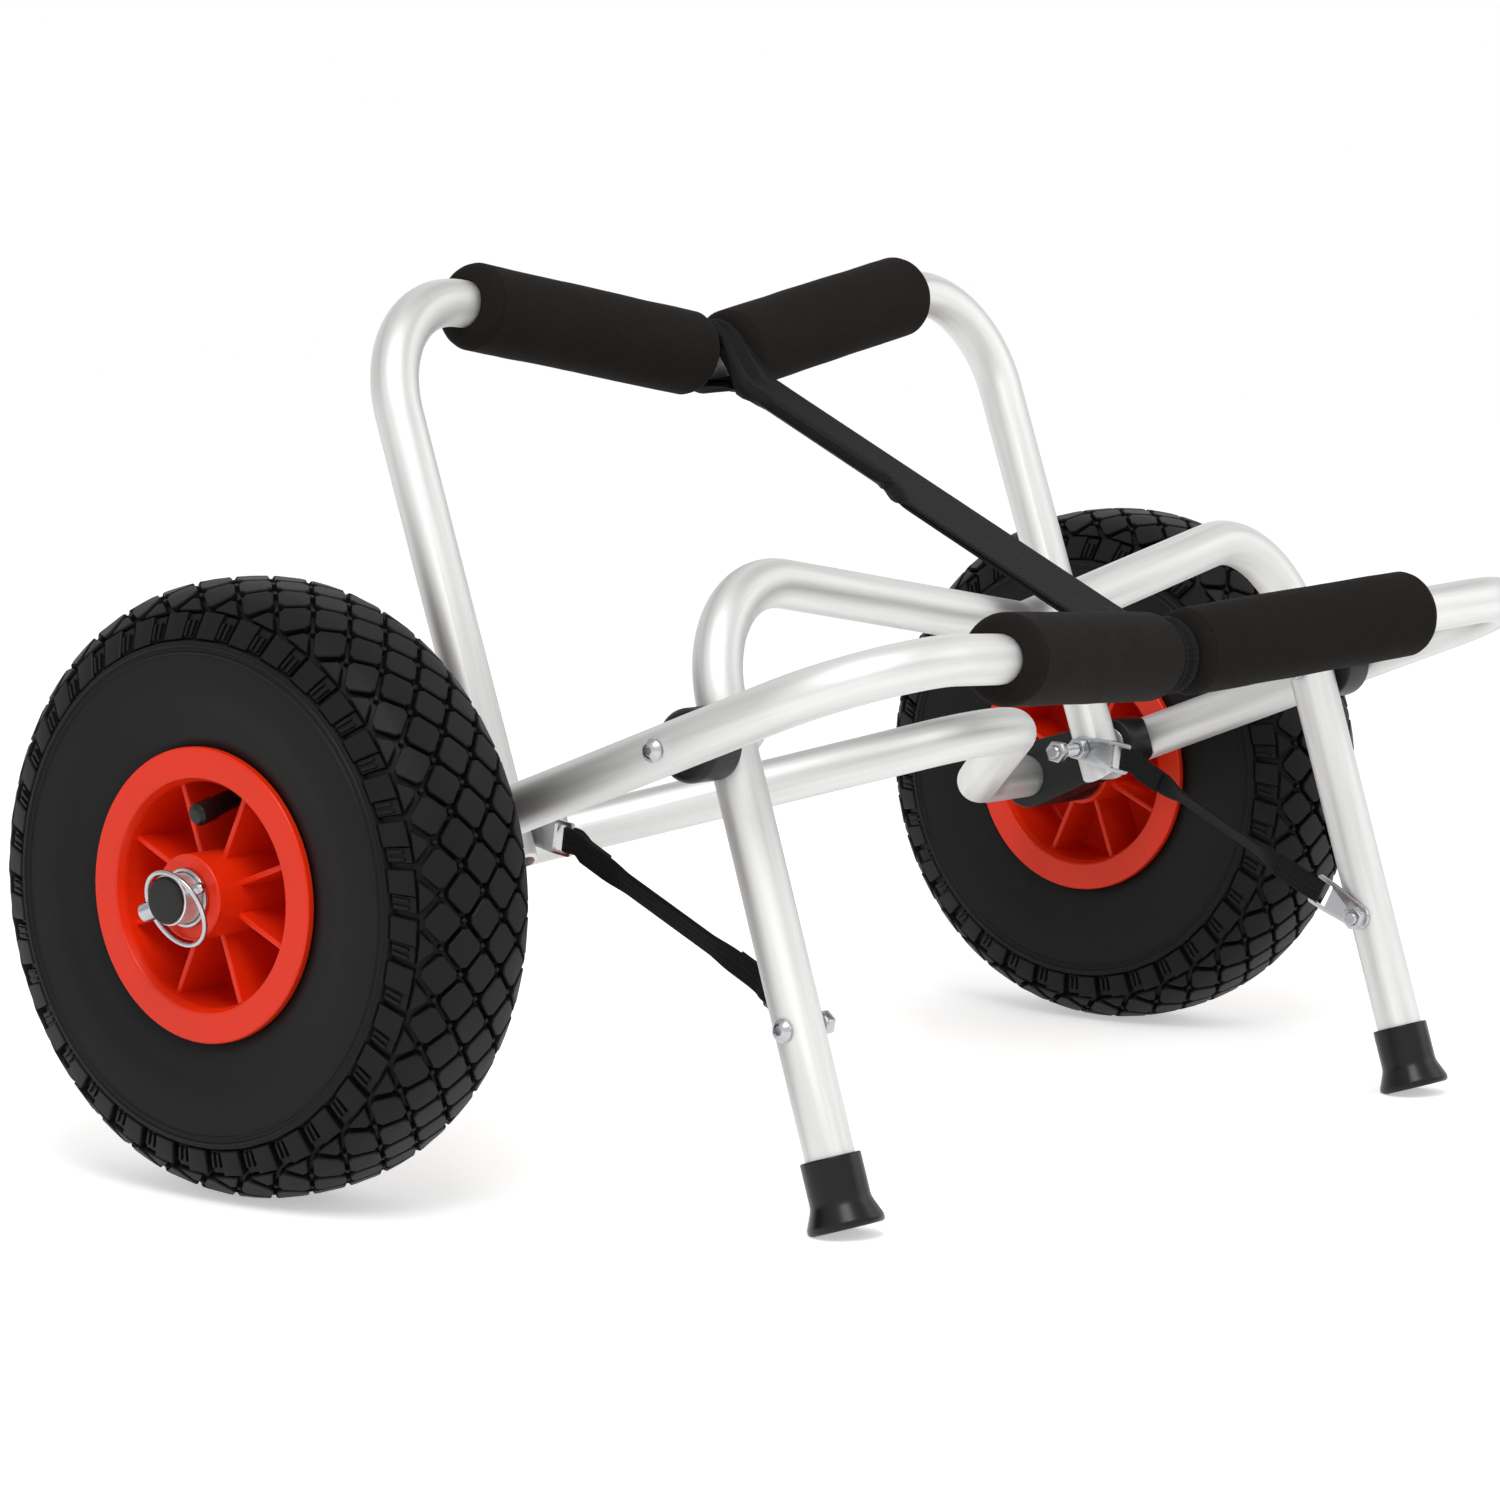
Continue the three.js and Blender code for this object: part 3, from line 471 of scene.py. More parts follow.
def mirrored(piece, name):
    """A copy of a piece on the other side of the cart."""
    copy = bpy.data.objects.new(name, piece.data.copy())
    copy.data.name = name
    flip(copy.data)
    bpy.context.scene.collection.objects.link(copy)
    return copy


def pair(piece, plain_name, body, slot, node, crease=38, material=None):
    """Makes a right-hand piece and its mirror image into the two pieces of the cart."""
    if material:
        shade(piece, material, crease)
    piece.name = f"right_{plain_name}"
    twin = mirrored(piece, f"left_{plain_name}")
    for side, made in (("right", piece), ("left", twin)):
        attach(made, body.format(side=side), slot, f"{node}_{side}")
    return piece, twin


# Materials

def add(tree, kind, inputs=None, **attributes):
    """Adds a node, sets its attributes, and sets or links its inputs."""
    node = tree.nodes.new("ShaderNode" + kind)
    for key, value in attributes.items():
        setattr(node, key, value)
    for key, value in (inputs or {}).items():
        if isinstance(value, bpy.types.NodeSocket):
            tree.links.new(value, node.inputs[key])
        else:
            node.inputs[key].default_value = value
    return node


def begin(name, **sockets):
    """A new material with its shader, whose sockets hold fixed values."""
    material = bpy.data.materials.new(name)
    material.use_nodes = True
    tree = material.node_tree
    tree.nodes.clear()
    fixed = {key.replace("_", " "): value for key, value in sockets.items()}
    shader = add(tree, "BsdfPrincipled", fixed)
    add(tree, "OutputMaterial", {"Surface": shader.outputs["BSDF"]})
    return material, tree, shader


def toned(colour, share):
    """A colour made darker or paler by a factor."""
    return [min(1, channel * share) for channel in colour[:3]] + [1]


def per(millimetres):
    """The scale of a texture whose features are this far apart, on coordinates in metres."""
    return 1 / (millimetres * MM)


def speckled(tree, kind, millimetres, **inputs):
    """A texture with features of one size, fixed to the piece."""
    place = add(tree, "TexCoord")
    return add(tree, kind, {"Vector": place.outputs["Object"], "Scale": per(millimetres), **inputs})


def streaked(tree, kind, scale, inputs, **attributes):
    """A texture stretched along and across a piece, by its UVs."""
    place = add(tree, "TexCoord")
    laid = add(tree, "Mapping", {"Vector": place.outputs["UV"], "Scale": scale})
    return add(tree, kind, {"Vector": laid.outputs[0], **inputs}, **attributes)


def ranged(tree, texture, low, high):
    """A texture's value, from 0 to 1, brought into a range."""
    return add(tree, "MapRange", {"Value": texture.outputs[0], "To Min": low, "To Max": high})


def tinted(tree, texture, dark, pale):
    """A colour between two, by a texture's value."""
    return add(tree, "Mix", {0: texture.outputs[0], 6: dark, 7: pale}, data_type="RGBA")


def connect(tree, shader, rough, tone, relief=None, strength=0, millimetres=0):
    """Links roughness, colour and a bump of some depth to a material's shader."""
    tree.links.new(rough.outputs[0], shader.inputs["Roughness"])
    tree.links.new(tone.outputs[2], shader.inputs["Base Color"])
    if relief:
        bump = add(tree, "Bump", {"Height": relief.outputs[0], "Strength": strength,
                                  "Distance": millimetres * MM})
        tree.links.new(bump.outputs[0], shader.inputs["Normal"])


def drawn_aluminium():
    """Drawn and satin-anodised tube: a soft pale metal with faint grey lines along its length."""
    colour = settings("tubes").colour
    material, tree, shader = begin("drawn_anodised_aluminium", Metallic=1.0)
    # Die lines run along the tube; real ones are near 0.1 mm apart, drawn at 0.9 mm to show
    lines = streaked(tree, "TexNoise", (per(70), per(0.9), 1), {"Scale": 1, "Detail": 2})
    streaks = streaked(tree, "TexNoise", (per(160), per(7), 1), {"Scale": 1, "Detail": 3})
    soft, fine = ranged(tree, streaks, 0.48, 0.62), ranged(tree, lines, -0.04, 0.04)
    rough = add(tree, "Math", {0: soft.outputs[0], 1: fine.outputs[0]}, operation="ADD")
    share = add(tree, "MapRange", {"Value": streaks.outputs[0], "From Min": 0.35, "From Max": 0.6})
    tone = tinted(tree, share, toned(colour, 0.84), colour)
    connect(tree, shader, rough, tone, lines, 0.05, 0.1)
    return material


def plated_steel():
    """Zinc-plated steel: brighter and smoother than the tubes, with slight clouding."""
    colour = settings("fittings").steel
    material, tree, shader = begin("zinc_plated_steel", Metallic=1.0)
    cloud = speckled(tree, "TexNoise", 4, Detail=5)
    tone = tinted(tree, cloud, toned(colour, 0.72), colour)
    connect(tree, shader, ranged(tree, cloud, 0.16, 0.34), tone)
    return material


def closed_cell_foam():
    """Extruded closed-cell foam: matt and soft, with a skin of fine open cells.

    The cells shade one another, so little of the surface mirrors the room.
    """
    colour = settings("pads").colour
    material, tree, shader = begin("closed_cell_foam", IOR=1.45, Specular_IOR_Level=0.12)
    # Cells are near 0.5 mm across, drawn at 1.1 mm to show
    cells = speckled(tree, "TexVoronoi", 1.1)
    tone = tinted(tree, speckled(tree, "TexNoise", 18, Detail=6), colour, toned(colour, 1.4))
    connect(tree, shader, ranged(tree, cells, 0.78, 0.98), tone, cells, 0.35, 0.25)
    return material


def woven_webbing():
    """Woven polyester webbing: ribs of thread across the strap, which shade one another; that shade is
    painted into the colour, darker between the threads and paler on their tops.
    """
    colour = settings("straps").colour
    material, tree, shader = begin("woven_polyester_webbing", IOR=1.53, Specular_IOR_Level=0.15)
    # Picks cross the strap each 1 mm and ends run along it each 1.4 mm
    picks, ends = (streaked(tree, "TexWave", scale, {"Scale": 2 / math.tau}, bands_direction="DIAGONAL")
                   for scale in ((per(1), 0, 0), (0, per(1.4), 0)))
    weave = add(tree, "Math", {0: picks.outputs[1], 1: ends.outputs[1]}, operation="MULTIPLY")
    fuzz = speckled(tree, "TexNoise", 0.8, Detail=3)
    # Painted shade and highlight: the colour is darkest in the valleys between the threads and up to
    # three times paler on their tops
    tone = tinted(tree, weave, colour, toned(colour, 3))
    connect(tree, shader, ranged(tree, fuzz, 0.55, 0.85), tone, weave, 0.4, 0.3)
    return material


def moulded(name, dark, pale, ior, level, cloud, grain, rough, bump):
    """A moulded plastic or rubber: clouded in tone and gloss, with the fine grain of its mould."""
    material, tree, shader = begin(name, IOR=ior, Specular_IOR_Level=level)
    size, detail = cloud
    clouds = speckled(tree, "TexNoise", size, Detail=detail)
    fine = speckled(tree, "TexNoise", grain, Detail=2)
    connect(tree, shader, ranged(tree, clouds, *rough), tinted(tree, clouds, dark, pale), fine, *bump)
    return material


def tyre_rubber():
    """Moulded tyre rubber: black, dull on the side walls, with a faint bloom.

    Carbon black takes most of the light, so the mirrored share is under the default.
    """
    colour = settings("tyres").colour
    return moulded("moulded_tyre_rubber", colour, toned(colour, 2), ior=1.52, level=0.16,
                   cloud=(30, 6), grain=0.9, rough=(0.42, 0.62), bump=(0.15, 0.15))


def rim_plastic():
    """Injection-moulded polypropylene: saturated and glossy, its colour under little haze."""
    colour = settings("rims").colour
    return moulded("moulded_polypropylene", toned(colour, 0.86), colour, ior=1.49, level=0.3,
                   cloud=(22, 4), grain=1.5, rough=(0.22, 0.36), bump=(0.05, 0.1))


def moulded_nylon():
    """Glass-filled nylon: a satin black with a fine spark-eroded grain."""
    colour = settings("fittings").nylon
    return moulded("glass_filled_nylon", colour, toned(colour, 1.8), ior=1.5, level=0.3,
                   cloud=(9, 5), grain=0.8, rough=(0.34, 0.5), bump=(0.12, 0.1))


def moulded_rubber():
    """Moulded black rubber, polished by its mould: its round sides show clear bright lines."""
    colour = settings("fittings").rubber
    return moulded("moulded_black_rubber", colour, toned(colour, 1.8), ior=1.5, level=0.3,
                   cloud=(9, 5), grain=1.1, rough=(0.24, 0.36), bump=(0.12, 0.1))


def shared(maker):
    """A material, made once and shared by the pieces that have it."""
    made = MATERIALS.get(maker.__name__)
    if made is None:
        made = MATERIALS[maker.__name__] = maker()
    return made


MATERIALS = {}


# Frames and axle

def tube_piece(name, points, radii, binormal, matrix, nose=0.0):
    """A hollow tube along a rounded path, with its ends eased or rounded like a nose."""
    sizes = settings("tubes")
    radius = sizes.diameter / 2
    bore = radius - sizes.wall
    ease = 0.4 * MM
    stations = rounded_path(points, radii)
    first, last = stations[0], stations[-1]
    outside = [(first[0] + first[1] * ease, first[1]), *stations[1:-1],
               (last[0] - last[1] * ease, last[1])]
    rows = swept([first], binormal, radius - ease)
    rows += swept(outside, binormal, radius)
    rows += swept([last], binormal, radius - ease)
    rows += swept(stations[::-1], binormal, bore)
    if nose:
        for row in rows:
            for point in row:
                if point.z < ease - nose:
                    rounded = -math.sqrt(nose * nose - point.y * point.y)
                    point.z += rounded + nose
    shell = Shell()
    shell.grid(rows, wrap_rows=True)
    return shade(shell.piece(name, matrix), shared(drawn_aluminium))


def vee_points(leg_x, start, corner, dip):
    """Two legs, two corners and a bar that dips to the middle."""
    return [Vector((-leg_x, 0, start)), Vector((-leg_x, 0, corner)), Vector((0, 0, dip)),
            Vector((leg_x, 0, corner)), Vector((leg_x, 0, start))]


def foot_reach():
    """From the stand's pivot down its leg to the bottom of its rubber foot."""
    centre = FOOT_BOTTOM_RADIUS * math.sin(-STAND_LEAN) - HEEL_FLAT
    return (STAND_PIVOT.z - centre) / math.cos(STAND_LEAN)


FOOT_BOTTOM_RADIUS = 16.2 * MM
FOOT_TOP_RADIUS = 12.8 * MM
FOOT_HEIGHT = 30 * MM
FOOT_FLOOR = 5 * MM
FOOT_FLARE = 11 * MM
HEEL_FLAT = 2.6 * MM


class KAYAKCART_OT_frames(bpy.types.Operator):
    """Build the front frame, the rear frame and the stand"""
    bl_idname = "kayak_cart.frames"
    bl_label = "Frames"

    def execute(self, context):
        sizes = settings("tubes")
        radii = [sizes.bend_radius, sizes.dip_radius, sizes.bend_radius]
        across = Vector((0, 1, 0))
        tail = FOOT_FLOOR + TOUCH - foot_reach()
        rows = (
            ("front_frame", FRONT_LEG_X, FRONT_START, FRONT_CORNER, FRONT_DIP, FRONT, 0, "main_frame"),
            ("rear_frame", REAR_LEG_X, -REAR_TAIL, REAR_CORNER, REAR_DIP, REAR, REAR_TAIL, "rear_frame"),
            ("stand", REAR_LEG_X, tail, STAND_CORNER, STAND_DIP, STAND, 0, "stand"),
        )
        for name, leg_x, start, corner, dip, matrix, nose, body in rows:
            points = vee_points(leg_x, start, corner, dip)
            node = f"{name}_tube"
            made = tube_piece(f"{name}_bar", points, radii, across, matrix, nose)
            attach(made, body, "frame_tube", node)
        return {"FINISHED"}


class KAYAKCART_OT_axle(bpy.types.Operator):
    """Build the bent axle"""
    bl_idname = "kayak_cart.axle"
    bl_label = "Axle"

    kink_radius = 36 * MM
    tip_radius = 50 * MM

    def execute(self, context):
        toward = Vector((0, -math.sin(AXLE_LEAN), math.cos(AXLE_LEAN)))
        points = [Vector((-AXLE_END_X, 0, 0)), Vector((-AXLE_KINK_X, 0, 0)), toward * AXLE_REACH,
                  Vector((AXLE_KINK_X, 0, 0)), Vector((AXLE_END_X, 0, 0))]
        radii = [self.kink_radius, self.tip_radius, self.kink_radius]
        binormal = Vector((1, 0, 0)).cross(toward)
        made = tube_piece("bent_axle", points, radii, binormal, ON_AXLE)
        attach(made, "main_frame", "frame_tube", "axle_tube")
        return {"FINISHED"}


# Foam pads

def pad_piece(leg_x, corner, dip, matrix, seed):
    """A foam sleeve on the right half of a bar that dips, with softly rounded ends."""
    sizes = settings("pads")
    outer = sizes.diameter / 2
    bore = tube_bore()
    start, end = sizes.gap, sizes.gap + sizes.length
    corners = [(start, bore, 0.8 * MM), (start, outer, sizes.edge)]
    steps = 24
    for k in range(1, steps):
        corners.append((start + (end - start) * k / steps, outer, 0))
    corners += [(end, outer, sizes.edge), (end, bore, 0.8 * MM)]
    shell = turned(filleted(corners))
    for point in shell.points:
        radius = math.hypot(point.y, point.z)
        if radius > bore + sizes.unevenness:
            wander = noise.noise(point / (26 * MM) + Vector((seed, 0, 0))) * sizes.unevenness
            wander += noise.noise(point / (7 * MM) + Vector((0, seed, 0))) * sizes.unevenness * 0.35
            share = 1 + (wander - sizes.unevenness) / radius
            point.y *= share
            point.z *= share
    climb = math.atan2(corner - dip, leg_x)
    along_bar = Matrix.Translation((0, 0, dip)) @ Matrix.Rotation(-climb, 4, "Y")
    return shell.piece("pad", matrix @ along_bar)


class KAYAKCART_OT_pads(bpy.types.Operator):
    """Build the four foam pads"""
    bl_idname = "kayak_cart.pads"
    bl_label = "Foam pads"

    def execute(self, context):
        rows = (
            ("front_foam_pad", "front_pad", FRONT_LEG_X, FRONT_CORNER, FRONT_DIP, FRONT, "main_frame"),
            ("rear_foam_pad", "rear_pad", REAR_LEG_X, REAR_CORNER, REAR_DIP, REAR, "rear_frame"),
        )
        for seed, (name, node, leg_x, corner, dip, matrix, body) in enumerate(rows):
            made = pad_piece(leg_x, corner, dip, matrix, 3.7 + 5.1 * seed)
            for pad in pair(made, name, body, "foam", node, material=shared(closed_cell_foam)):
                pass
        return {"FINISHED"}


# Rubber feet, axle plugs and moulded fittings

class KAYAKCART_OT_feet(bpy.types.Operator):
    """Build the two rubber feet"""
    bl_idname = "kayak_cart.feet"
    bl_label = "Feet"

    def execute(self, context):
        bore = tube_bore()
        lip = 0.8 * MM
        foot = lathed([
            (0, 0, 0),
            (0, FOOT_BOTTOM_RADIUS * 0.5, 0),
            (0, FOOT_BOTTOM_RADIUS * 0.8, 0),
            (0, FOOT_BOTTOM_RADIUS, 1.6 * MM),
            (3 * MM, FOOT_BOTTOM_RADIUS, 2 * MM),
            (FOOT_FLARE, FOOT_TOP_RADIUS, 8 * MM),
            (FOOT_HEIGHT, FOOT_TOP_RADIUS, lip),
            (FOOT_HEIGHT, bore, 0),
            (FOOT_FLOOR, bore, 0),
            (FOOT_FLOOR, 0, 0),
        ])
        upright = Matrix.Translation((REAR_LEG_X, 0, -foot_reach())) @ UPRIGHT
        made = foot.piece("foot", STAND @ upright)
        # The ground presses the heel flat
        for vertex in made.data.vertices:
            vertex.co.z = max(vertex.co.z, 0)
        pair(made, "rubber_foot", "stand", "foot_rubber", "foot_cap", material=shared(moulded_rubber))
        return {"FINISHED"}


class KAYAKCART_OT_brackets(bpy.types.Operator):
    """Build the axle brackets and the stand spacers, which are moulded nylon"""
    bl_idname = "kayak_cart.brackets"
    bl_label = "Brackets and spacers"

    hub_radius = 16 * MM
    pivot_radius = 12.5 * MM
    saddle = 5 * MM
    spacer_radius = 15.5 * MM
    spacer_saddle = 2 * MM

    def leg(self, low_z, high_z):
        """The space that the front leg fills, a little wider than the leg."""
        turn = Matrix.Translation((FRONT_LEG_X, 0, 0)) @ UPRIGHT
        return rod(tube_bore(), low_z, high_z, FINE_SIDES).piece("leg", turn)

    def execute(self, context):
        tube, hole = tube_bore(), bolt_bore()
        past = 3 * MM
        arm_end = FRONT_LEG_X - tube + TOUCH + self.saddle
        spread = math.asin((self.hub_radius - self.pivot_radius) / REAR_REACH)
        outline = []
        steps = 16
        for k in range(steps + 1):
            angle = (math.pi + 2 * spread) * k / steps - spread
            outline.append((-self.hub_radius * math.cos(angle), -self.hub_radius * math.sin(angle)))
        for k in range(steps + 1):
            angle = (math.pi + 2 * spread) * k / steps - 2 * spread
            outline.append((self.pivot_radius * math.cos(angle),
                            REAR_REACH + self.pivot_radius * math.sin(angle)))
        arm = soften(prism(outline, BRACKET_INNER_X, arm_end).piece("arm"), 1.2 * MM)
        boss = lathed([
            (BRACKET_INNER_X, 0, 0), (BRACKET_INNER_X, self.hub_radius, 1.2 * MM),
            (BRACKET_END_X, self.hub_radius, 1.2 * MM), (BRACKET_END_X, 0, 0),
        ]).piece("boss")
        combine(arm, "UNION", boss)
        axle = rod(tube, BRACKET_INNER_X - past, BRACKET_END_X + past, FINE_SIDES).piece("axle")
        lift = Matrix.Translation((0, 0, REAR_REACH))
        bolt = rod(hole, BRACKET_INNER_X - past, arm_end + past).piece("bolt", lift)
        combine(arm, "DIFFERENCE", axle, bolt, self.leg(FRONT_START - TOUCH, FRONT_CORNER))
        arm.data.transform(FRONT)
        nylon = shared(moulded_nylon)
        pair(arm, "axle_link", "main_frame", "nylon", "axle_bracket", material=nylon)

        inner = REAR_LEG_X + tube
        outer = arm_end - self.saddle + self.spacer_saddle
        disc = turned(filleted([
            (inner, hole, 0), (inner, self.spacer_radius, 1.2 * MM),
            (outer, self.spacer_radius, 4 * MM), (outer, hole, 0),
        ])).piece("disc")
        combine(disc, "DIFFERENCE", self.leg(-2 * self.spacer_radius, 2 * self.spacer_radius))
        disc.data.transform(AT_STAND_PIVOT)
        pair(disc, "leg_spacer", "main_frame", "nylon", "stand_spacer", material=nylon)
        return {"FINISHED"}


# Fasteners

NUT_HEIGHT = 5 * MM
HEAD_HEIGHT = 3 * MM
BOLT_TAIL = 1.5 * MM
CLIP_SHEET = 2 * MM
INNER_NUT_X = 208.2 * MM
CLIP_NUT_X = 205.9 * MM
END_NUT_X = 188.5 * MM
FRONT_HEAD_X = 268.8 * MM
REAR_HEAD_X = 229.8 * MM


def bolt_piece(head_x, tip_x, threaded, matrix):
    """A button-head bolt along X with a hexagon socket and a threaded length at its end."""
    sizes = settings("fittings")
    radius = sizes.bolt / 2
    head = sizes.bolt_head / 2
    thread = []
    pitch = 1 * MM
    turns = int(threaded / pitch)
    for k in range(turns):
        start = tip_x + 0.5 * MM + k * pitch
        thread += [(start, radius, 0), (start + pitch * 0.5, radius - 0.35 * MM, 0)]
    made = lathed([
        (tip_x, 0, 0), (tip_x, radius - 0.5 * MM, 0), *thread,
        (tip_x + 0.5 * MM + turns * pitch, radius, 0),
        (head_x, radius, 0), (head_x, head, 0.2 * MM), (head_x + 0.9 * MM, head, 0.6 * MM),
        (head_x + HEAD_HEIGHT, head * 0.55, 2.2 * MM), (head_x + HEAD_HEIGHT, 0, 0),
    ], ROUND_SIDES).piece("bolt")
    socket = rod(head * 0.38, head_x + HEAD_HEIGHT * 0.1, head_x + HEAD_HEIGHT * 2, 6).piece("socket")
    combine(made, "DIFFERENCE", socket)
    made.data.transform(matrix)
    return made


def nut_piece(outer_x, matrix):
    """A hexagon nut along X with eased corners."""
    hexagon = round_outline(settings("fittings").nut / 2, 6)
    made = soften(prism(hexagon, outer_x - NUT_HEIGHT, outer_x).piece("nut"), 0.5 * MM)
    bore = rod(bolt_bore(), outer_x - 2 * NUT_HEIGHT, outer_x + NUT_HEIGHT).piece("bore")
    combine(made, "DIFFERENCE", bore)
    made.data.transform(matrix)
    return made


class KAYAKCART_OT_fasteners(bpy.types.Operator):
    """Build the bolts, nuts and washers of the pivots"""
    bl_idname = "kayak_cart.fasteners"
    bl_label = "Fasteners"

    washer_radius = 8.5 * MM
    washer_thickness = 1.5 * MM

    def execute(self, context):
        steel = shared(plated_steel)
        at_clip = STAND @ Matrix.Translation((0, 0, -CLIP_BOLT_REACH))
        bolts = (
            ("rear_joint_bolt", "rear_pivot_bolt", FRONT_HEAD_X, END_NUT_X, CLIP_NUT_X,
             AT_REAR_PIVOT, "main_frame"),
            ("stand_joint_bolt", "stand_pivot_bolt", FRONT_HEAD_X, INNER_NUT_X, INNER_NUT_X,
             AT_STAND_PIVOT, "main_frame"),
            ("strap_bolt", "clip_bolt", REAR_HEAD_X, CLIP_NUT_X, CLIP_NUT_X, at_clip, "stand"),
        )
        for name, node, head_x, last_nut_x, first_nut_x, matrix, body in bolts:
            tip = last_nut_x - NUT_HEIGHT - BOLT_TAIL
            made = bolt_piece(head_x, tip, first_nut_x - NUT_HEIGHT / 2 - tip, matrix)
            pair(made, name, body, "steel", node, material=steel)
        nuts = (
            ("rear_joint_nut", "rear_pivot_nut", CLIP_NUT_X, AT_REAR_PIVOT, "main_frame"),
            ("rear_joint_end_nut", "rear_pivot_end_nut", END_NUT_X, AT_REAR_PIVOT, "main_frame"),
            ("stand_joint_nut", "stand_pivot_nut", INNER_NUT_X, AT_STAND_PIVOT, "main_frame"),
            ("strap_bolt_nut", "clip_nut", CLIP_NUT_X, at_clip, "stand"),
        )
        for name, node, nut_x, matrix, body in nuts:
            pair(nut_piece(nut_x, matrix), name, body, "steel", node, material=steel)
        far = REAR_HEAD_X + self.washer_thickness
        outline = eased(REAR_HEAD_X, far, bolt_bore(), self.washer_radius, 0.3 * MM)
        washer = turned(outline, ROUND_SIDES).piece("washer", AT_REAR_PIVOT)
        pair(washer, "joint_washer", "main_frame", "steel", "pivot_washer", material=steel)
        return {"FINISHED"}


# Straps and their clips

def in_plane(z_from, z_to):
    """A turn about X that brings +Z from one point of the cart's side view onto another."""
    run = z_to - z_from
    return -math.atan2(run.y, run.z)


UPPER_BOLT = REAR_PIVOT
LOWER_BOLT = STAND @ Vector((0, 0, -CLIP_BOLT_REACH))
CLIP_BAR = 2.8 * MM
CLIP_NECK = 18 * MM
CLIP_SLOT = 7 * MM
CLIP_REACH = CLIP_NECK + CLIP_SLOT + CLIP_BAR / 2
UPPER_CLIP_TURN = math.radians(97.5)
UPPER_BAR = space(UPPER_BOLT, UPPER_CLIP_TURN) @ Vector((0, 0, CLIP_REACH))
STRAP_TURN = in_plane(LOWER_BOLT, UPPER_BAR)


def clip_piece(matrix):
    """A flat steel clip with a round ear on the bolt and a slot for webbing out along +Z."""
    outer_x, neck, slot = INNER_NUT_X, CLIP_NECK, CLIP_SLOT
    ear = 6 * MM
    half = 7.5 * MM
    slot_half = 5.8 * MM
    tip = neck + slot + CLIP_BAR
    outline = []
    steps = 20
    spread = math.asin((half - ear) / neck)
    for k in range(steps + 1):
        angle = math.pi - spread + (math.pi + 2 * spread) * k / steps
        outline.append((ear * math.cos(angle), ear * math.sin(angle)))
    corner = 1.5 * MM
    # The ear's arc starts at -Y and ends at +Y; the plate's two outer corners follow
    plate = filleted([(half, neck, 4 * MM), (half, tip, corner),
                      (-half, tip, corner), (-half, neck, 4 * MM)], closed=False)
    made = prism(outline + plate, outer_x - CLIP_SHEET, outer_x).piece("clip")
    soften(made, 0.35 * MM, 2)
    past = 2 * CLIP_SHEET
    hole = rod(bolt_bore(), outer_x - past, outer_x + past).piece("hole")
    window = filleted([(-slot_half, neck, MM), (slot_half, neck, MM),
                       (slot_half, neck + slot, MM), (-slot_half, neck + slot, MM)])
    slot_tool = prism(window, outer_x - past, outer_x + past).piece("slot")
    combine(made, "DIFFERENCE", hole, slot_tool)
    made.data.transform(matrix)
    return made


class KAYAKCART_OT_clips(bpy.types.Operator):
    """Build the slotted steel clips of the stand straps"""
    bl_idname = "kayak_cart.clips"
    bl_label = "Strap clips"

    def execute(self, context):
        steel = shared(plated_steel)
        made = clip_piece(space(UPPER_BOLT, UPPER_CLIP_TURN))
        pair(made, "upper_clip", "main_frame", "steel", "strap_clip_upper", material=steel)
        made = clip_piece(space(LOWER_BOLT, STRAP_TURN))
        pair(made, "lower_clip", "stand", "steel", "strap_clip_lower", material=steel)
        return {"FINISHED"}


def smoothed(points, rounds=2):
    """A flat open line with its corners cut, so that webbing bends softly."""
    for _ in range(rounds):
        cut = [points[0]]
        for a, b in zip(points, points[1:]):
            cut += [a.lerp(b, 0.25), a.lerp(b, 0.75)]
        points = cut + [points[-1]]
    return points


def band_section(half_width, half_thick, edge_steps=4, flat_steps=8):
    """Points round a strap's section, with round selvedges: (across, up) pairs."""
    points = []
    reach = half_width - half_thick
    for sign in (1, -1):
        for k in range(flat_steps):
            points.append((sign * (-reach + 2 * reach * k / flat_steps), sign * half_thick))
        for k in range(edge_steps):
            angle = QUARTER - math.pi * k / edge_steps
            points.append((sign * (reach + half_thick * math.cos(angle)),
                           sign * half_thick * math.sin(angle)))
    return points


def headings_of(line, wrap=False):
    """The direction of a line at each of its points."""
    count = len(line)
    found = []
    for i in range(count):
        if wrap:
            a, b = line[i - 1], line[(i + 1) % count]
        else:
            a, b = line[max(i - 1, 0)], line[min(i + 1, count - 1)]
        found.append((b - a).normalized())
    return found


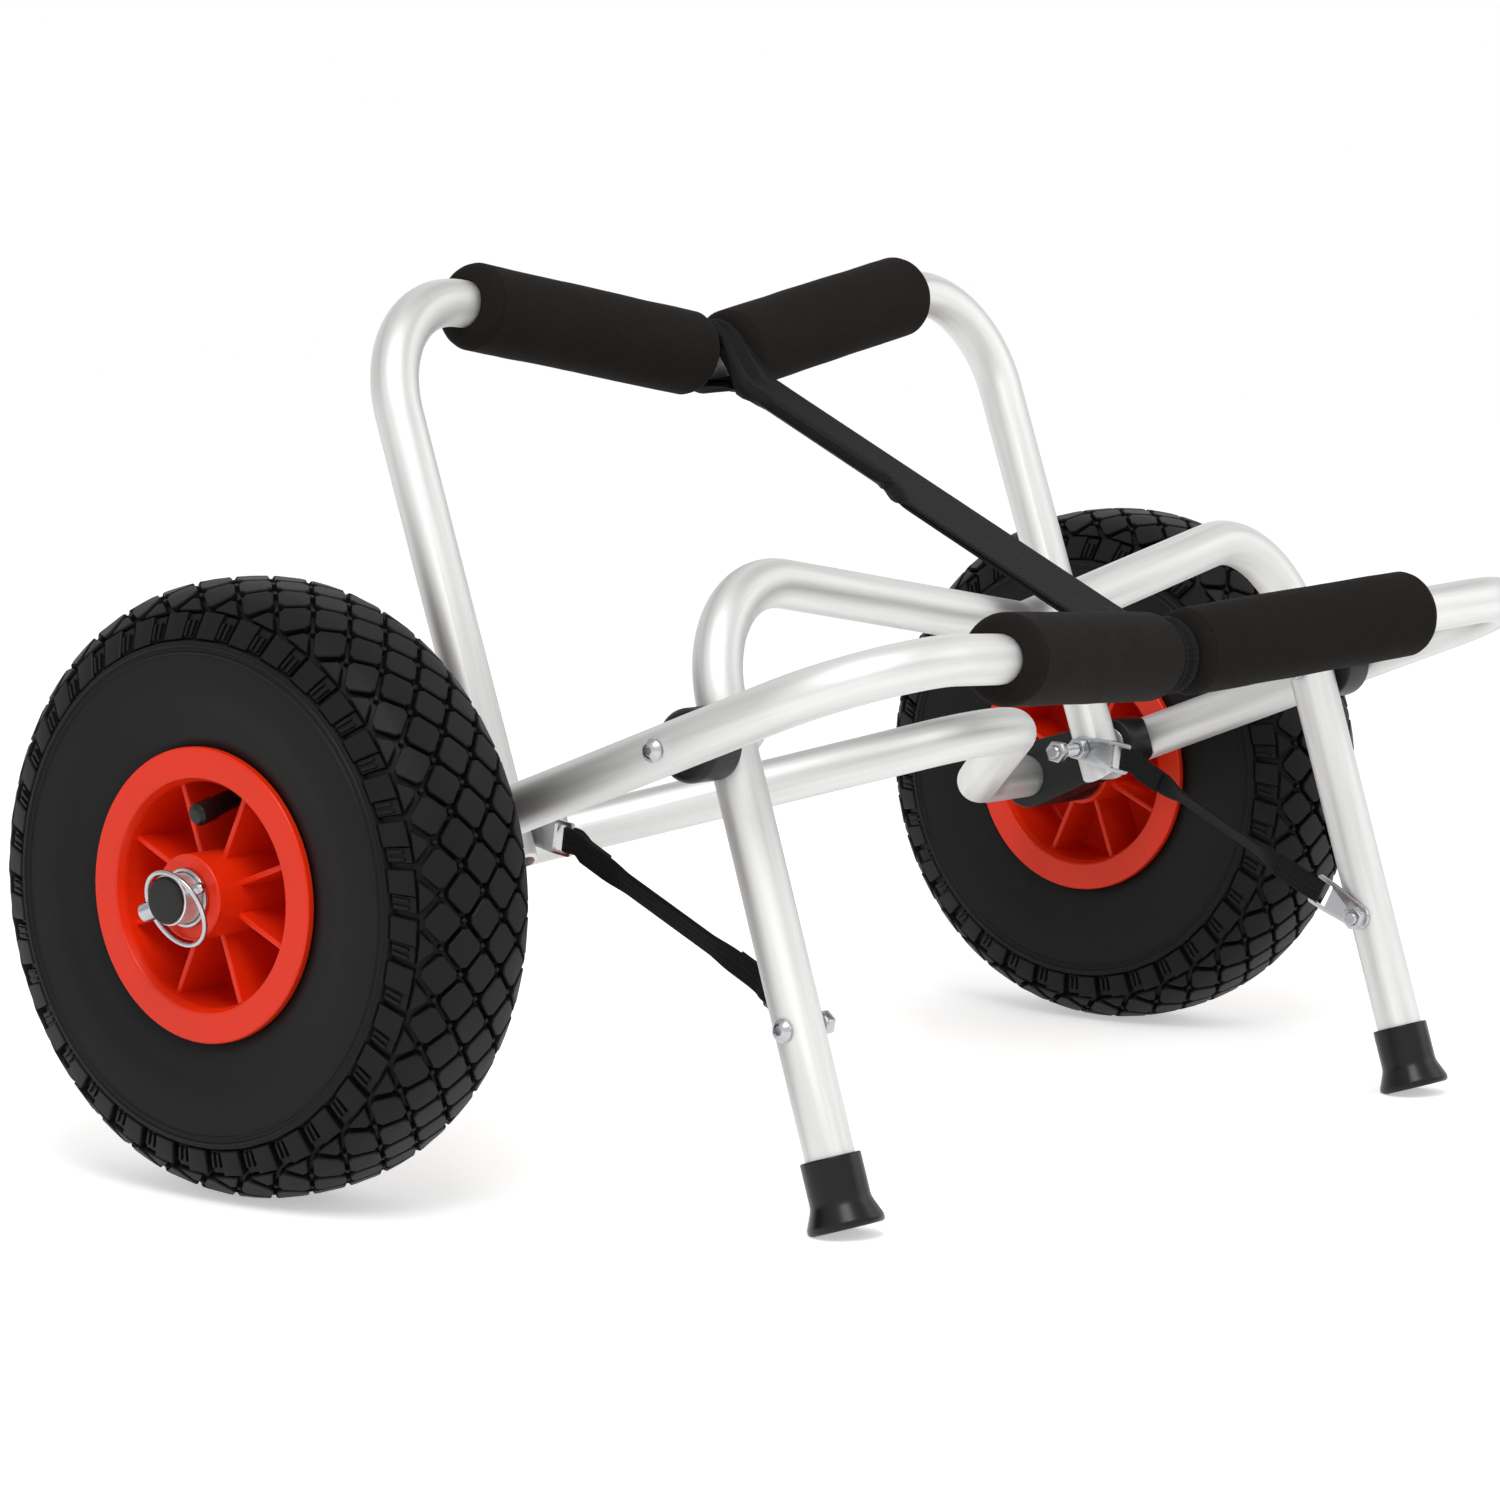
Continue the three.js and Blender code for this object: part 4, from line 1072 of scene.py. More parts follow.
class KAYAKCART_OT_stand_straps(bpy.types.Operator):
    """Build the two straps that stop the stand"""
    bl_idname = "kayak_cart.stand_straps"
    bl_label = "Stand straps"

    tail = 22 * MM
    # How far each strap is twisted in its middle
    twists = (("right", math.radians(42)), ("left", math.radians(-20)))

    def execute(self, context):
        sizes = settings("straps")
        half = sizes.stand_thickness / 2
        low = CLIP_REACH
        high = (UPPER_BAR - Vector((0, LOWER_BOLT.y, LOWER_BOLT.z))).length
        bar_x = INNER_NUT_X - CLIP_SHEET / 2
        side = CLIP_SHEET / 2 + TOUCH + half
        reach = CLIP_BAR / 2 + TOUCH + half
        fold = half + 0.1 * MM
        free = high - low - 2 * self.tail
        middle = [Vector((bar_x + fold * (2 * share - 1), low + self.tail + free * share))
                  for share in (k / 12 for k in range(13))]
        # The line in X and along the strap: a tail, round one clip's bar, along, round the other's
        line = smoothed([Vector(place) for place in (
            (bar_x - 3 * fold, low + self.tail), (bar_x - 3 * fold, low + reach * 3),
            (bar_x - side, low + reach), (bar_x - side, low - reach),
            (bar_x + side, low - reach), (bar_x + side, low + reach),
            (bar_x - fold, low + reach * 3), *middle, (bar_x + fold, high - reach * 3),
            (bar_x + side, high - reach), (bar_x + side, high + reach),
            (bar_x - side, high + reach), (bar_x - side, high - reach),
            (bar_x - fold, high - reach * 3), (bar_x - fold, high - self.tail),
        )])
        headings = headings_of(line)
        section = band_section(sizes.stand_width / 2, half)
        # The upper clip stands at an angle to the strap, which turns to it near the clip's bar
        clip_turn = UPPER_CLIP_TURN - math.pi - STRAP_TURN
        bar = Vector((0, 0, high))

        def lay(i, place, most):
            """The strap's section at a station, where the strap's middle is twisted by most."""
            flat = headings[i]
            up = Vector((flat.y, 0, -flat.x))
            turn_share = smooth_step((place.y - high + 4 * reach) / (2.5 * reach))
            turn = Matrix.Rotation(clip_turn * turn_share, 3, "X")
            share = (place.y - low - self.tail) / free
            twist = most * smooth_step(5 * min(share, 1 - share))
            side_on = Vector((0, math.cos(twist), 0)) + up * math.sin(twist)
            face = up * math.cos(twist) - Vector((0, math.sin(twist), 0))
            return [bar + turn @ (Vector((place.x, 0, place.y)) + side_on * across + face * rise - bar)
                    for across, rise in section]

        strap = space(LOWER_BOLT, STRAP_TURN)
        for name, most in self.twists:
            shell = Shell()
            shell.capped([lay(i, place, most) for i, place in enumerate(line)])
            made = shade(shell.piece(f"{name}_stand_webbing", strap), shared(woven_webbing), 60)
            if name == "left":
                flip(made.data)
            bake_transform(made)
            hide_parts(f"stand_strap_{name}")
        return {"FINISHED"}


def bar_rise(x, climb):
    """How far a dipping bar's middle line lies above its sharp corner, at a distance from the middle."""
    radius = settings("tubes").dip_radius
    if abs(x) < radius * math.sin(climb):
        return radius / math.cos(climb) - math.sqrt(radius * radius - x * x)
    return abs(x) * math.tan(climb)


class KAYAKCART_OT_cradle_strap(bpy.types.Operator):
    """Build the strap that joins the middles of the two padded bars"""
    bl_idname = "kayak_cart.cradle_strap"
    bl_label = "Cradle strap"

    loop_half_width = 9.6 * MM
    standoff = 27 * MM
    # Shares of the strap's length from the front bar where the webbing is flat, and where one
    # selvedge is tucked under
    flat_to_share = 0.46
    folded_share = 0.60
    tucked_width = 15.8 * MM
    pleat_depth = 5 * MM
    pleats = 2.5

    def tuck(self, across, height, line, half, pressed):
        """Carries a place in the strap's section round the tucked edge, if it lies past that edge."""
        past = line - across
        if past <= 0:
            return across, height
        drop = 2 * half + 0.2 * MM
        reach = height + drop
        run = math.pi * drop
        if past < run:
            angle = past / drop
            x, low = line - reach * math.sin(angle), reach * math.cos(angle) - drop
        else:
            x, low = line + past - run, -drop - reach
        return across + (x - across) * pressed, height + (low - height) * pressed

    def execute(self, context):
        sizes = settings("straps")
        half = sizes.cradle_thickness / 2
        tube = settings("tubes").diameter / 2
        front_climb = math.atan2(FRONT_CORNER - FRONT_DIP, FRONT_LEG_X)
        rear_climb = math.atan2(REAR_CORNER - REAR_DIP, REAR_LEG_X)
        front = FRONT @ Vector((0, 0, FRONT_DIP + bar_rise(0, front_climb)))
        rear = REAR @ Vector((0, 0, REAR_DIP + bar_rise(0, rear_climb)))
        length = (rear - front).length
        strap = space(front, in_plane(front, rear))
        inward = strap.inverted().to_3x3()
        front_rise = inward @ (FRONT.to_3x3() @ Vector((0, 0, 1)))
        rear_rise = inward @ (REAR.to_3x3() @ Vector((0, 0, 1)))
        radius = tube + 0.5 * MM + half
        apart = half + 0.12 * MM
        open_angle = math.acos((radius - apart) / self.standoff)
        turns = 28
        line = []
        round_bar = []
        for centre, sign in ((0, -1), (length, 1)):
            for k in range(turns + 1):
                angle = open_angle + (math.tau - 2 * open_angle) * k / turns
                line.append(Vector((-sign * radius * math.sin(angle),
                                    centre - sign * radius * math.cos(angle))))
                round_bar.append(True)
            rungs = 60
            low, high = self.standoff, length - self.standoff
            for k in range(rungs + 1):
                share = k / rungs
                along = low + (high - low) * share if sign < 0 else high - (high - low) * share
                line.append(Vector((-apart if sign < 0 else apart, along)))
                round_bar.append(False)
        headings = headings_of(line, wrap=True)
        half_width = sizes.cradle_width / 2
        section = band_section(half_width, half, flat_steps=16)

        def lay(i, place):
            """The strap's section at a station: flat, tucked, or gathered round a bar."""
            flat = headings[i]
            up = Vector((0, flat.y, -flat.x))
            share = min(max(place.y / length, 0), 1)
            near = min(place.y, length - place.y) / (self.standoff * 1.6)
            squeeze = 1 - smooth_step(near)
            tucked = smooth_step((share - self.flat_to_share) / (self.folded_share - self.flat_to_share))
            edge = self.tucked_width * tucked * (1 - squeeze) - half_width
            row = []
            for across, rise in section:
                gather = 1 + (self.loop_half_width / half_width - 1) * squeeze
                phase = math.tau * self.pleats * across / (2 * half_width)
                wave = (1 - math.cos(phase) * 0.9 + 0.1 * math.sin(2 * phase)) / 2
                pleat = wave * self.pleat_depth * squeeze
                climb, direction = (front_climb, front_rise) if share < 0.5 else (rear_climb, rear_rise)
                if round_bar[i]:
                    x = across * gather
                    spot = Vector((x, place.x, place.y)) + up * (rise - pleat)
                else:
                    height = -place.x - up.y * (rise - pleat)
                    x, height = self.tuck(across, height, edge, half, smooth_step(1.6 * tucked))
                    x *= gather
                    spot = Vector((x, -height, place.y))
                row.append(spot + direction * (bar_rise(x, climb) - bar_rise(0, climb)) * squeeze)
            return row

        shell = Shell()
        shell.grid([lay(i, place) for i, place in enumerate(line)], wrap_rows=True)
        made = shade(shell.piece("cradle_webbing", strap), shared(woven_webbing), 60)
        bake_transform(made)
        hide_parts("cradle_strap")
        return {"FINISHED"}


def smooth_step(share):
    """A soft ramp from 0 to 1."""
    share = min(max(share, 0), 1)
    return share * share * (3 - 2 * share)


# Wheels

CROWN_RADIUS = 130 * MM
SEAT_RADIUS = 56 * MM
TYRE_HALF = 38 * MM
SHOULDER_POWER = 0.72
BEAD_X = 33.1 * MM
BEAD_WIDTH = 9 * MM
TYRE_WALL = 5 * MM
TREAD_WALL = 9 * MM


class TyreSection:
    """The outline of a tyre's section by its arc length from the crown, and its outward normal."""

    def __init__(self):
        """Walks the section from the crown to the rim's seat."""
        middle = (CROWN_RADIUS + SEAT_RADIUS) / 2
        depth = (CROWN_RADIUS - SEAT_RADIUS) / 2
        steps = 360
        self.table = []
        arc = 0.0
        last = None
        for k in range(steps + 1):
            angle = QUARTER - 1.5 * QUARTER * k / steps
            place = superellipse(angle, TYRE_HALF, depth, middle)
            if last is not None:
                arc += (place - last).length
            self.table.append((arc, place))
            last = place

    def reach(self, radius):
        """The arc length from the crown to a radius on the side wall."""
        return next(arc for arc, place in self.table if place.y <= radius and place.x > TYRE_HALF / 2)

    def at(self, arc):
        """The place (x, radius) and the outward normal at an arc length, signed by side."""
        sign = -1 if arc < 0 else 1
        target = min(abs(arc), self.table[-1][0] * 0.9999)
        low, high = 0, len(self.table) - 1
        while high - low > 1:
            middle = (low + high) // 2
            if self.table[middle][0] <= target:
                low = middle
            else:
                high = middle
        (a, start), (b, end) = self.table[low], self.table[high]
        place = start.lerp(end, (target - a) / (b - a))
        heading = (end - start).normalized()
        return Vector((sign * place.x, place.y)), Vector((-sign * heading.y, heading.x))


def superellipse(angle, half_width, half_depth, middle):
    """A place on a rounded square, as X and a radius."""
    across = math.copysign(abs(math.cos(angle)) ** SHOULDER_POWER, math.cos(angle))
    up = math.copysign(abs(math.sin(angle)) ** SHOULDER_POWER, math.sin(angle))
    return Vector((half_width * across, middle + half_depth * up))


def on_tyre(section, arc, turn, height):
    """A place on the tyre: an arc length across, a turn round from the front, and a height."""
    place, normal = section.at(arc)
    place = place + normal * height
    return Vector((place.x, -place.y * math.cos(turn), place.y * math.sin(turn)))


def tread_block(shell, section, outline, top, foot):
    """A block of rubber on the casing, from (arc, turn) corners, with a chamfered top edge."""
    chamfer = 0.5 * MM
    middle_arc = sum(arc for arc, turn in outline) / len(outline)
    middle_turn = sum(turn for arc, turn in outline) / len(outline)
    size = max(abs(arc - middle_arc) for arc, turn in outline)
    rows = []
    for share, height in ((1.05, foot), (1, top - chamfer), (1 - chamfer / size, top)):
        rows.append([on_tyre(section, middle_arc + (arc - middle_arc) * share,
                             middle_turn + (turn - middle_turn) * share, height)
                     for arc, turn in outline])
    base = shell.grid(rows)
    count = len(outline)
    shell.fan(base + 2 * count, count, on_tyre(section, middle_arc, middle_turn, top))
    shell.fan(base, count, on_tyre(section, middle_arc, middle_turn, foot))


class KAYAKCART_OT_tyres(bpy.types.Operator):
    """Build the two tyres with their tread"""
    bl_idname = "kayak_cart.tyres"
    bl_label = "Tyres"

    column_step = 10.6 * MM
    blunt = 0.17
    corner_reach = 0.9
    stud = 1.5 * MM
    stud_sunk = 1.2 * MM
    wedge_tip = 3.4 * MM
    wedge_gap = 1.2 * MM
    wedge_sunk = 0.2 * MM
    lug_inner = 37.2 * MM
    lug_outer_radius = 106.5 * MM
    ridge_radii = (103.4 * MM, 100.9 * MM)
    ridge_height = 0.7 * MM
    ridge_width = 1.5 * MM
    bead_line_radius = 68 * MM
    lug_groove_turn = math.radians(2)
    # Shares of a pitch: a lug's start and end, those of the shelf beside it, and the shelf's bars
    lug_shares = (0.40, 0.93)
    shelf_shares = (0.06, 0.39)
    bar_shares = (0.14, 0.29)
    bar_half_share = 0.036
    slant_share = 0.10
    shelf_sunk = 1.7 * MM
    bar_sunk = 0.5 * MM
    bar_inset = (3.5 * MM, 1 * MM)
    root_depth = 0.3 * MM

    # The side wall stands out beside the rim: radius and least X from the middle
    flank = ((63 * MM, 33.6 * MM), (65 * MM, 34.6 * MM), (70 * MM, 35.8 * MM), (76 * MM, 36.5 * MM))

    def flank_x(self, radius):
        """The least X of the side wall at a radius near the rim."""
        for (low, start), (high, end) in zip(self.flank, self.flank[1:]):
            if radius <= high:
                return start + (end - start) * max(0, (radius - low) / (high - low))
        return 0

    def casing(self, section):
        """The outline of the casing under the tread, with its ridges, beads and cavity."""
        depth = settings("tyres").tread_depth
        lug_outer = section.reach(self.lug_outer_radius)
        ridges = [section.reach(radius) for radius in self.ridge_radii]
        bead_line = section.reach(self.bead_line_radius)
        end = section.table[-1][0]
        stops = {0.0, lug_outer - 0.5 * MM, lug_outer + 1.2 * MM, end}
        stops.update(end * k / 30 for k in range(30))
        for ridge in ridges:
            stops.update(ridge + self.ridge_width * share for share in (-0.5, -0.25, 0, 0.25, 0.5))
        stops.update(bead_line + share * MM for share in (-1.5, -0.8, 0, 0.8, 1.5))

        def height(arc):
            """How far the casing's skin stands off the section."""
            sunk = depth * (1 - smooth_step((arc - lug_outer + 0.5 * MM) / (1.7 * MM)))
            raised = sum(max(0, 1 - (2 * (arc - ridge) / self.ridge_width) ** 2) for ridge in ridges)
            line = max(0, 1 - ((arc - bead_line) / (1.5 * MM)) ** 2) * 0.6 * MM
            return -sunk + raised * self.ridge_height + line

        ordered = sorted(stops)
        half = []
        for arc in ordered:
            place, normal = section.at(arc)
            place = place + normal * height(arc)
            place.x = max(place.x, self.flank_x(place.y))
            half.append(place)
        outer = [Vector((-p.x, p.y)) for p in reversed(half[1:])] + half
        seat = SEAT_RADIUS + TOUCH
        middle = (CROWN_RADIUS + SEAT_RADIUS) / 2 + (TYRE_WALL - TREAD_WALL) / 2
        deep = (CROWN_RADIUS - SEAT_RADIUS) / 2 - (TYRE_WALL + TREAD_WALL) / 2
        steps = 24
        inner = [superellipse(3 * QUARTER * k / steps - QUARTER / 2, TYRE_HALF - TYRE_WALL, deep, middle)
                 for k in range(steps + 1)]
        heel_x = BEAD_X - 0.2 * MM
        bead = [Vector((heel_x, self.flank[0][0] - 1.5 * MM)), Vector((heel_x, seat)),
                Vector((BEAD_X - BEAD_WIDTH, seat))]
        other = [Vector((-p.x, p.y)) for p in reversed(bead)]
        return outer + bead + inner + other

    def tread(self, shell, section):
        """Diamond blocks over the crown and lugs round the shoulders."""
        sizes = settings("tyres")
        pitch = math.tau / sizes.pitches
        foot = -sizes.tread_depth - self.root_depth
        half_arc = self.column_step - sizes.groove / 2
        half_turn = pitch / 2 - sizes.groove / 2 / CROWN_RADIUS * 1.15
        blunt, reach = self.blunt, self.corner_reach
        diamond = [(reach, blunt), (blunt, reach), (-blunt, reach), (-reach, blunt),
                   (-reach, -blunt), (-blunt, -reach), (blunt, -reach), (reach, -blunt)]
        columns = [(k + 0.5) * self.column_step for k in range(-3, 3)]
        wedge_start, wedge_end = self.lug_inner - self.wedge_gap, columns[-1] + self.wedge_tip
        lug_outer = section.reach(self.lug_outer_radius)
        slant = pitch * self.slant_share

        def block(corners, top, side=1):
            """A block of the tread on the right half of the tyre, or mirrored onto the left."""
            tread_block(shell, section, [(side * arc, turn) for arc, turn in corners], top, foot)

        for i in range(sizes.pitches):
            for k, arc in enumerate(columns):
                turn = pitch * (i + (0 if k % 2 else 0.5))
                block([(arc + u * half_arc, turn + v * half_turn) for u, v in diamond], 0.0)
                # A small stud stands where the grooves cross
                block([(arc + u * self.stud, turn + pitch / 2 + v * self.stud / CROWN_RADIUS)
                       for u, v in diamond], -self.stud_sunk)
            for side, shift in ((1, 0), (-1, 0.5)):
                turn = pitch * (i + shift + 0.5)
                wide, narrow = half_turn * 0.80, half_turn * 0.16
                block([(wedge_start, turn + wide), (wedge_start, turn - wide),
                       (wedge_end, turn - narrow), (wedge_end, turn + narrow)], -self.wedge_sunk, side)
                groove = pitch * (i + shift) + self.lug_groove_turn
                for shares, top in ((self.lug_shares, 0.0), (self.shelf_shares, -self.shelf_sunk)):
                    low, high = (groove + pitch * share for share in shares)
                    block([(self.lug_inner, low - slant), (self.lug_inner, high - slant),
                           (lug_outer, high), (lug_outer, low)], top, side)
                inner, outer = self.lug_inner + self.bar_inset[0], lug_outer - self.bar_inset[1]
                half = pitch * self.bar_half_share
                for share in self.bar_shares:
                    middle = groove + pitch * share
                    near = middle - slant * 0.7
                    block([(inner, near - half), (inner, near + half),
                           (outer, middle + half), (outer, middle - half)], -self.bar_sunk, side)

    def execute(self, context):
        section = TyreSection()
        shell = turned(self.casing(section), sides=144)
        self.tread(shell, section)
        made = shell.piece("tyre", ON_WHEEL)
        pair(made, "tyre", "wheel_{side}", "tyre_rubber", "tyre", crease=32,
             material=shared(tyre_rubber))
        for side in ("left", "right"):
            tube = frame["nodes"][f"inner_tube_{side}"]
            tube.data.materials.clear()
            tube.data.materials.append(shared(moulded_rubber))
        return {"FINISHED"}


class KAYAKCART_OT_rims(bpy.types.Operator):
    """Build the two moulded rims"""
    bl_idname = "kayak_cart.rims"
    bl_label = "Rims"

    flange_radius = 61.7 * MM
    flange_x = 37.4 * MM
    flange_inner = 49 * MM
    flange_thickness = 4 * MM
    barrel_radius = 47 * MM
    web_x = -4 * MM
    web_thickness = 4 * MM
    hub_radius = 18 * MM
    hub_outer_x = 44 * MM
    hub_inner_x = -37.4 * MM
    rib_edge_x = 30.5 * MM
    rib_turn = math.radians(24.5)

    def rib(self, k, count):
        """One rib from the hub to the barrel, through the web."""
        half = settings("rims").rib_thickness / 2
        root = self.hub_radius - half
        tip = self.barrel_radius + half
        # The outline lies in Y (along the axle) and Z (outward) until it is turned
        edge = self.rib_edge_x
        outline = [(-edge, root), (edge, root), (edge, tip), (-edge, tip)]
        made = soften(prism(outline, -half, half).piece("rib"), 0.8 * MM)
        turn = Matrix.Rotation(self.rib_turn + math.tau * k / count + QUARTER, 4, "X")
        made.data.transform(turn @ Matrix.Rotation(-QUARTER, 4, "Z"))
        return made

    def execute(self, context):
        sizes = settings("rims")
        bore = tube_bore()
        back = self.flange_x - self.flange_thickness
        web_out = self.web_x + self.web_thickness
        small, wide = 1.2 * MM, 5 * MM
        outline = filleted([
            (self.hub_inner_x, bore, 0.6 * MM), (self.hub_inner_x, self.hub_radius, small),
            (self.web_x, self.hub_radius, 2.5 * MM), (self.web_x, self.barrel_radius, 3 * MM),
            (-back, self.barrel_radius, wide), (-self.flange_x, self.flange_inner, small),
            (-self.flange_x, self.flange_radius, small), (-back, self.flange_radius, 0.8 * MM),
            (-back, SEAT_RADIUS, 0.8 * MM), (back, SEAT_RADIUS, 0.8 * MM),
            (back, self.flange_radius, 0.8 * MM), (self.flange_x, self.flange_radius, small),
            (self.flange_x, self.flange_inner, small), (back, self.barrel_radius, wide),
            (web_out, self.barrel_radius, 3 * MM), (web_out, self.hub_radius, 2.5 * MM),
            (self.hub_outer_x, self.hub_radius, small), (self.hub_outer_x, bore, 0.6 * MM),
        ])
        made = turned(outline, sides=144).piece("rim")
        ribs = [self.rib(k, sizes.rib_count) for k in range(sizes.rib_count)]
        combine(made, "UNION", *ribs)
        hole = rod(VALVE_RADIUS + TOUCH, self.hub_radius * 2, self.flange_radius)
        combine(made, "DIFFERENCE", hole.piece("hole", VALVE_STAND))
        made.data.transform(ON_WHEEL)
        for rim in pair(made, "rim_moulding", "wheel_{side}", "rim_plastic", "rim",
                        material=shared(rim_plastic)):
            # Large faces set the shading, so that the flat webs stay even beside the ribs
            even = rim.modifiers.new("Even shading", "WEIGHTED_NORMAL")
            even.keep_sharp = True
        return {"FINISHED"}


VALVE_RADIUS = 4.2 * MM
VALVE_ROOT = (12 * MM, 61 * MM)
VALVE_CORNER = (12 * MM, 41 * MM)
VALVE_TIP = (41 * MM, 33.5 * MM)
VALVE_TURN = math.radians(2)
# Brings +X onto the valve's direction out of the barrel
VALVE_STAND = (Matrix.Rotation(VALVE_TURN, 4, "X") @ Matrix.Translation((VALVE_ROOT[0], 0, 0))
               @ UPRIGHT)


class KAYAKCART_OT_valves(bpy.types.Operator):
    """Build the bent tyre valves"""
    bl_idname = "kayak_cart.valves"
    bl_label = "Valves"

    cap_radius = 4.9 * MM
    cap_length = 11 * MM
    bend_radius = 5.5 * MM
    flutes = 16
    flute_depth = 0.25 * MM

    def execute(self, context):
        root, corner, tip = (Vector((x, 0, z)) for x, z in (VALVE_ROOT, VALVE_CORNER, VALVE_TIP))
        outward = (tip - corner).normalized()
        stations = rounded_path([root, corner, tip - outward * 2 * MM], [self.bend_radius])
        shell = Shell()
        shell.capped(swept(stations, Vector((0, 1, 0)), VALVE_RADIUS))
        # The cap's fluted side lies along +X until it is laid on the stem's end
        cap = lathed([
            (0, 0, 0), (0, VALVE_RADIUS + 0.3 * MM, 0.2 * MM), (MM, self.cap_radius, 0.3 * MM),
            (self.cap_length - 1.6 * MM, self.cap_radius, 0.8 * MM),
            (self.cap_length, self.cap_radius * 0.66, 0.8 * MM), (self.cap_length, 0, 0),
        ], self.flutes * 6)
        for point in cap.points:
            radius = math.hypot(point.y, point.z)
            if radius > self.cap_radius * 0.97:
                wave = 1 + math.cos(self.flutes * math.atan2(point.z, point.y))
                sunk = self.flute_depth * wave / 2
                point.y *= 1 - sunk / radius
                point.z *= 1 - sunk / radius
        turn = Vector((1, 0, 0)).rotation_difference(outward).to_matrix().to_4x4()
        lay = Matrix.Translation(tip - outward * self.cap_length) @ turn
        offset = len(shell.points)
        shell.points += [lay @ point for point in cap.points]
        shell.faces += [[offset + corner for corner in face] for face in cap.faces]
        shell.uvs += cap.uvs
        made = shell.piece("valve", ON_WHEEL @ Matrix.Rotation(VALVE_TURN, 4, "X"))
        pair(made, "tyre_valve", "wheel_{side}", "foot_rubber", "valve", material=shared(moulded_rubber))
        return {"FINISHED"}


class KAYAKCART_OT_retainers(bpy.types.Operator):
    """Build what holds the wheels on the axle: washers, lock pins, their rings, and the end plugs"""
    bl_idname = "kayak_cart.retainers"
    bl_label = "Wheel retainers"

    washer_radius = 12.3 * MM
    washer_thickness = 2 * MM
    pin_radius = 2.4 * MM
    pin_tip = 17.3 * MM
    head_start = 11.3 * MM
    head_length = 8 * MM
    head_radius = 4.3 * MM
    tilt = math.radians(157)
    ring_radius = 16.7 * MM
    ring_wire = 1.1 * MM
    ring_lean = math.radians(8)
    ring_twist = math.radians(-20)
    ring_droop = math.radians(12)
    plug_flange = 1.6 * MM
    plug_rim = 0.6 * MM
    plug_stem = 9 * MM

    def execute(self, context):
        steel = shared(plated_steel)
        tube = settings("tubes").diameter / 2
        ease = 0.4 * MM
        far = WASHER_X + self.washer_thickness
        outline = eased(WASHER_X, far, tube_bore(), self.washer_radius, ease)
        washer = turned(outline).piece("washer", ON_AXLE)
        pair(washer, "wheel_washer", "main_frame", "steel", "hub_washer", material=steel)

        tilted = ON_AXLE @ Matrix.Rotation(self.tilt, 4, "X") @ Matrix.Translation((LOCK_PIN_X, 0, 0))
        along_y = tilted @ Matrix.Rotation(QUARTER, 4, "Z")
        head_end = -self.head_start - self.head_length
        pin = lathed([
            (head_end, 0, 0), (head_end, self.head_radius, 0.8 * MM),
            (-self.head_start, self.head_radius, 0.8 * MM),
            (-self.head_start, self.pin_radius, 0.3 * MM),
            (self.pin_tip - 1.5 * MM, self.pin_radius, 0.8 * MM),
            (self.pin_tip, self.pin_radius * 0.5, 0.3 * MM), (self.pin_tip, 0, 0),
        ], ROUND_SIDES).piece("pin", along_y)
        hinge_y = -self.head_start - self.head_length / 2
        hinge = (tilted @ Matrix.Translation((0, hinge_y, 0)) @ Matrix.Rotation(self.ring_droop, 4, "X")
                 @ Matrix.Rotation(self.ring_twist, 4, "Y"))
        eye = rod(self.ring_wire + 0.5 * MM, -8 * MM, 8 * MM).piece(
            "eye", hinge @ Matrix.Rotation(QUARTER, 4, "Y"))
        combine(pin, "DIFFERENCE", eye)
        pair(pin, "axle_lock_pin", "main_frame", "steel", "lock_pin", material=steel)

        # The ring hangs from the pin's head and leans out round the axle's end
        shell = Shell()
        leaned = Matrix.Rotation(-self.ring_lean, 3, "Z")
        stations = []
        for angle in full_turn(72):
            place = Vector((0, 1 - math.cos(angle), math.sin(angle))) * self.ring_radius
            heading = Vector((0, math.sin(angle), math.cos(angle)))
            stations.append((leaned @ place, leaned @ heading))
        shell.grid(swept(stations, leaned @ Vector((1, 0, 0)), self.ring_wire, 14), wrap_rows=True)
        ring = shell.piece("ring", hinge)
        pair(ring, "pin_ring", "lock_ring_{side}", "steel", "lock_ring", material=steel)

        flange = tube - self.plug_rim
        stem = tube - settings("tubes").wall - TOUCH
        root, seat, face = (AXLE_END_X + step for step in (-self.plug_stem, TOUCH, self.plug_flange))
        plug = lathed([
            (root, 0, 0), (root, stem, ease), (seat, stem, 0), (seat, flange, ease),
            (face, flange, 0.9 * MM), (face, flange * 0.55, 0), (face, 0, 0),
        ], ROUND_SIDES).piece("plug", ON_AXLE)
        pair(plug, "axle_end_plug", "main_frame", "foot_rubber", "axle_plug",
             material=shared(moulded_rubber))
        return {"FINISHED"}


# Floor, lamps and camera

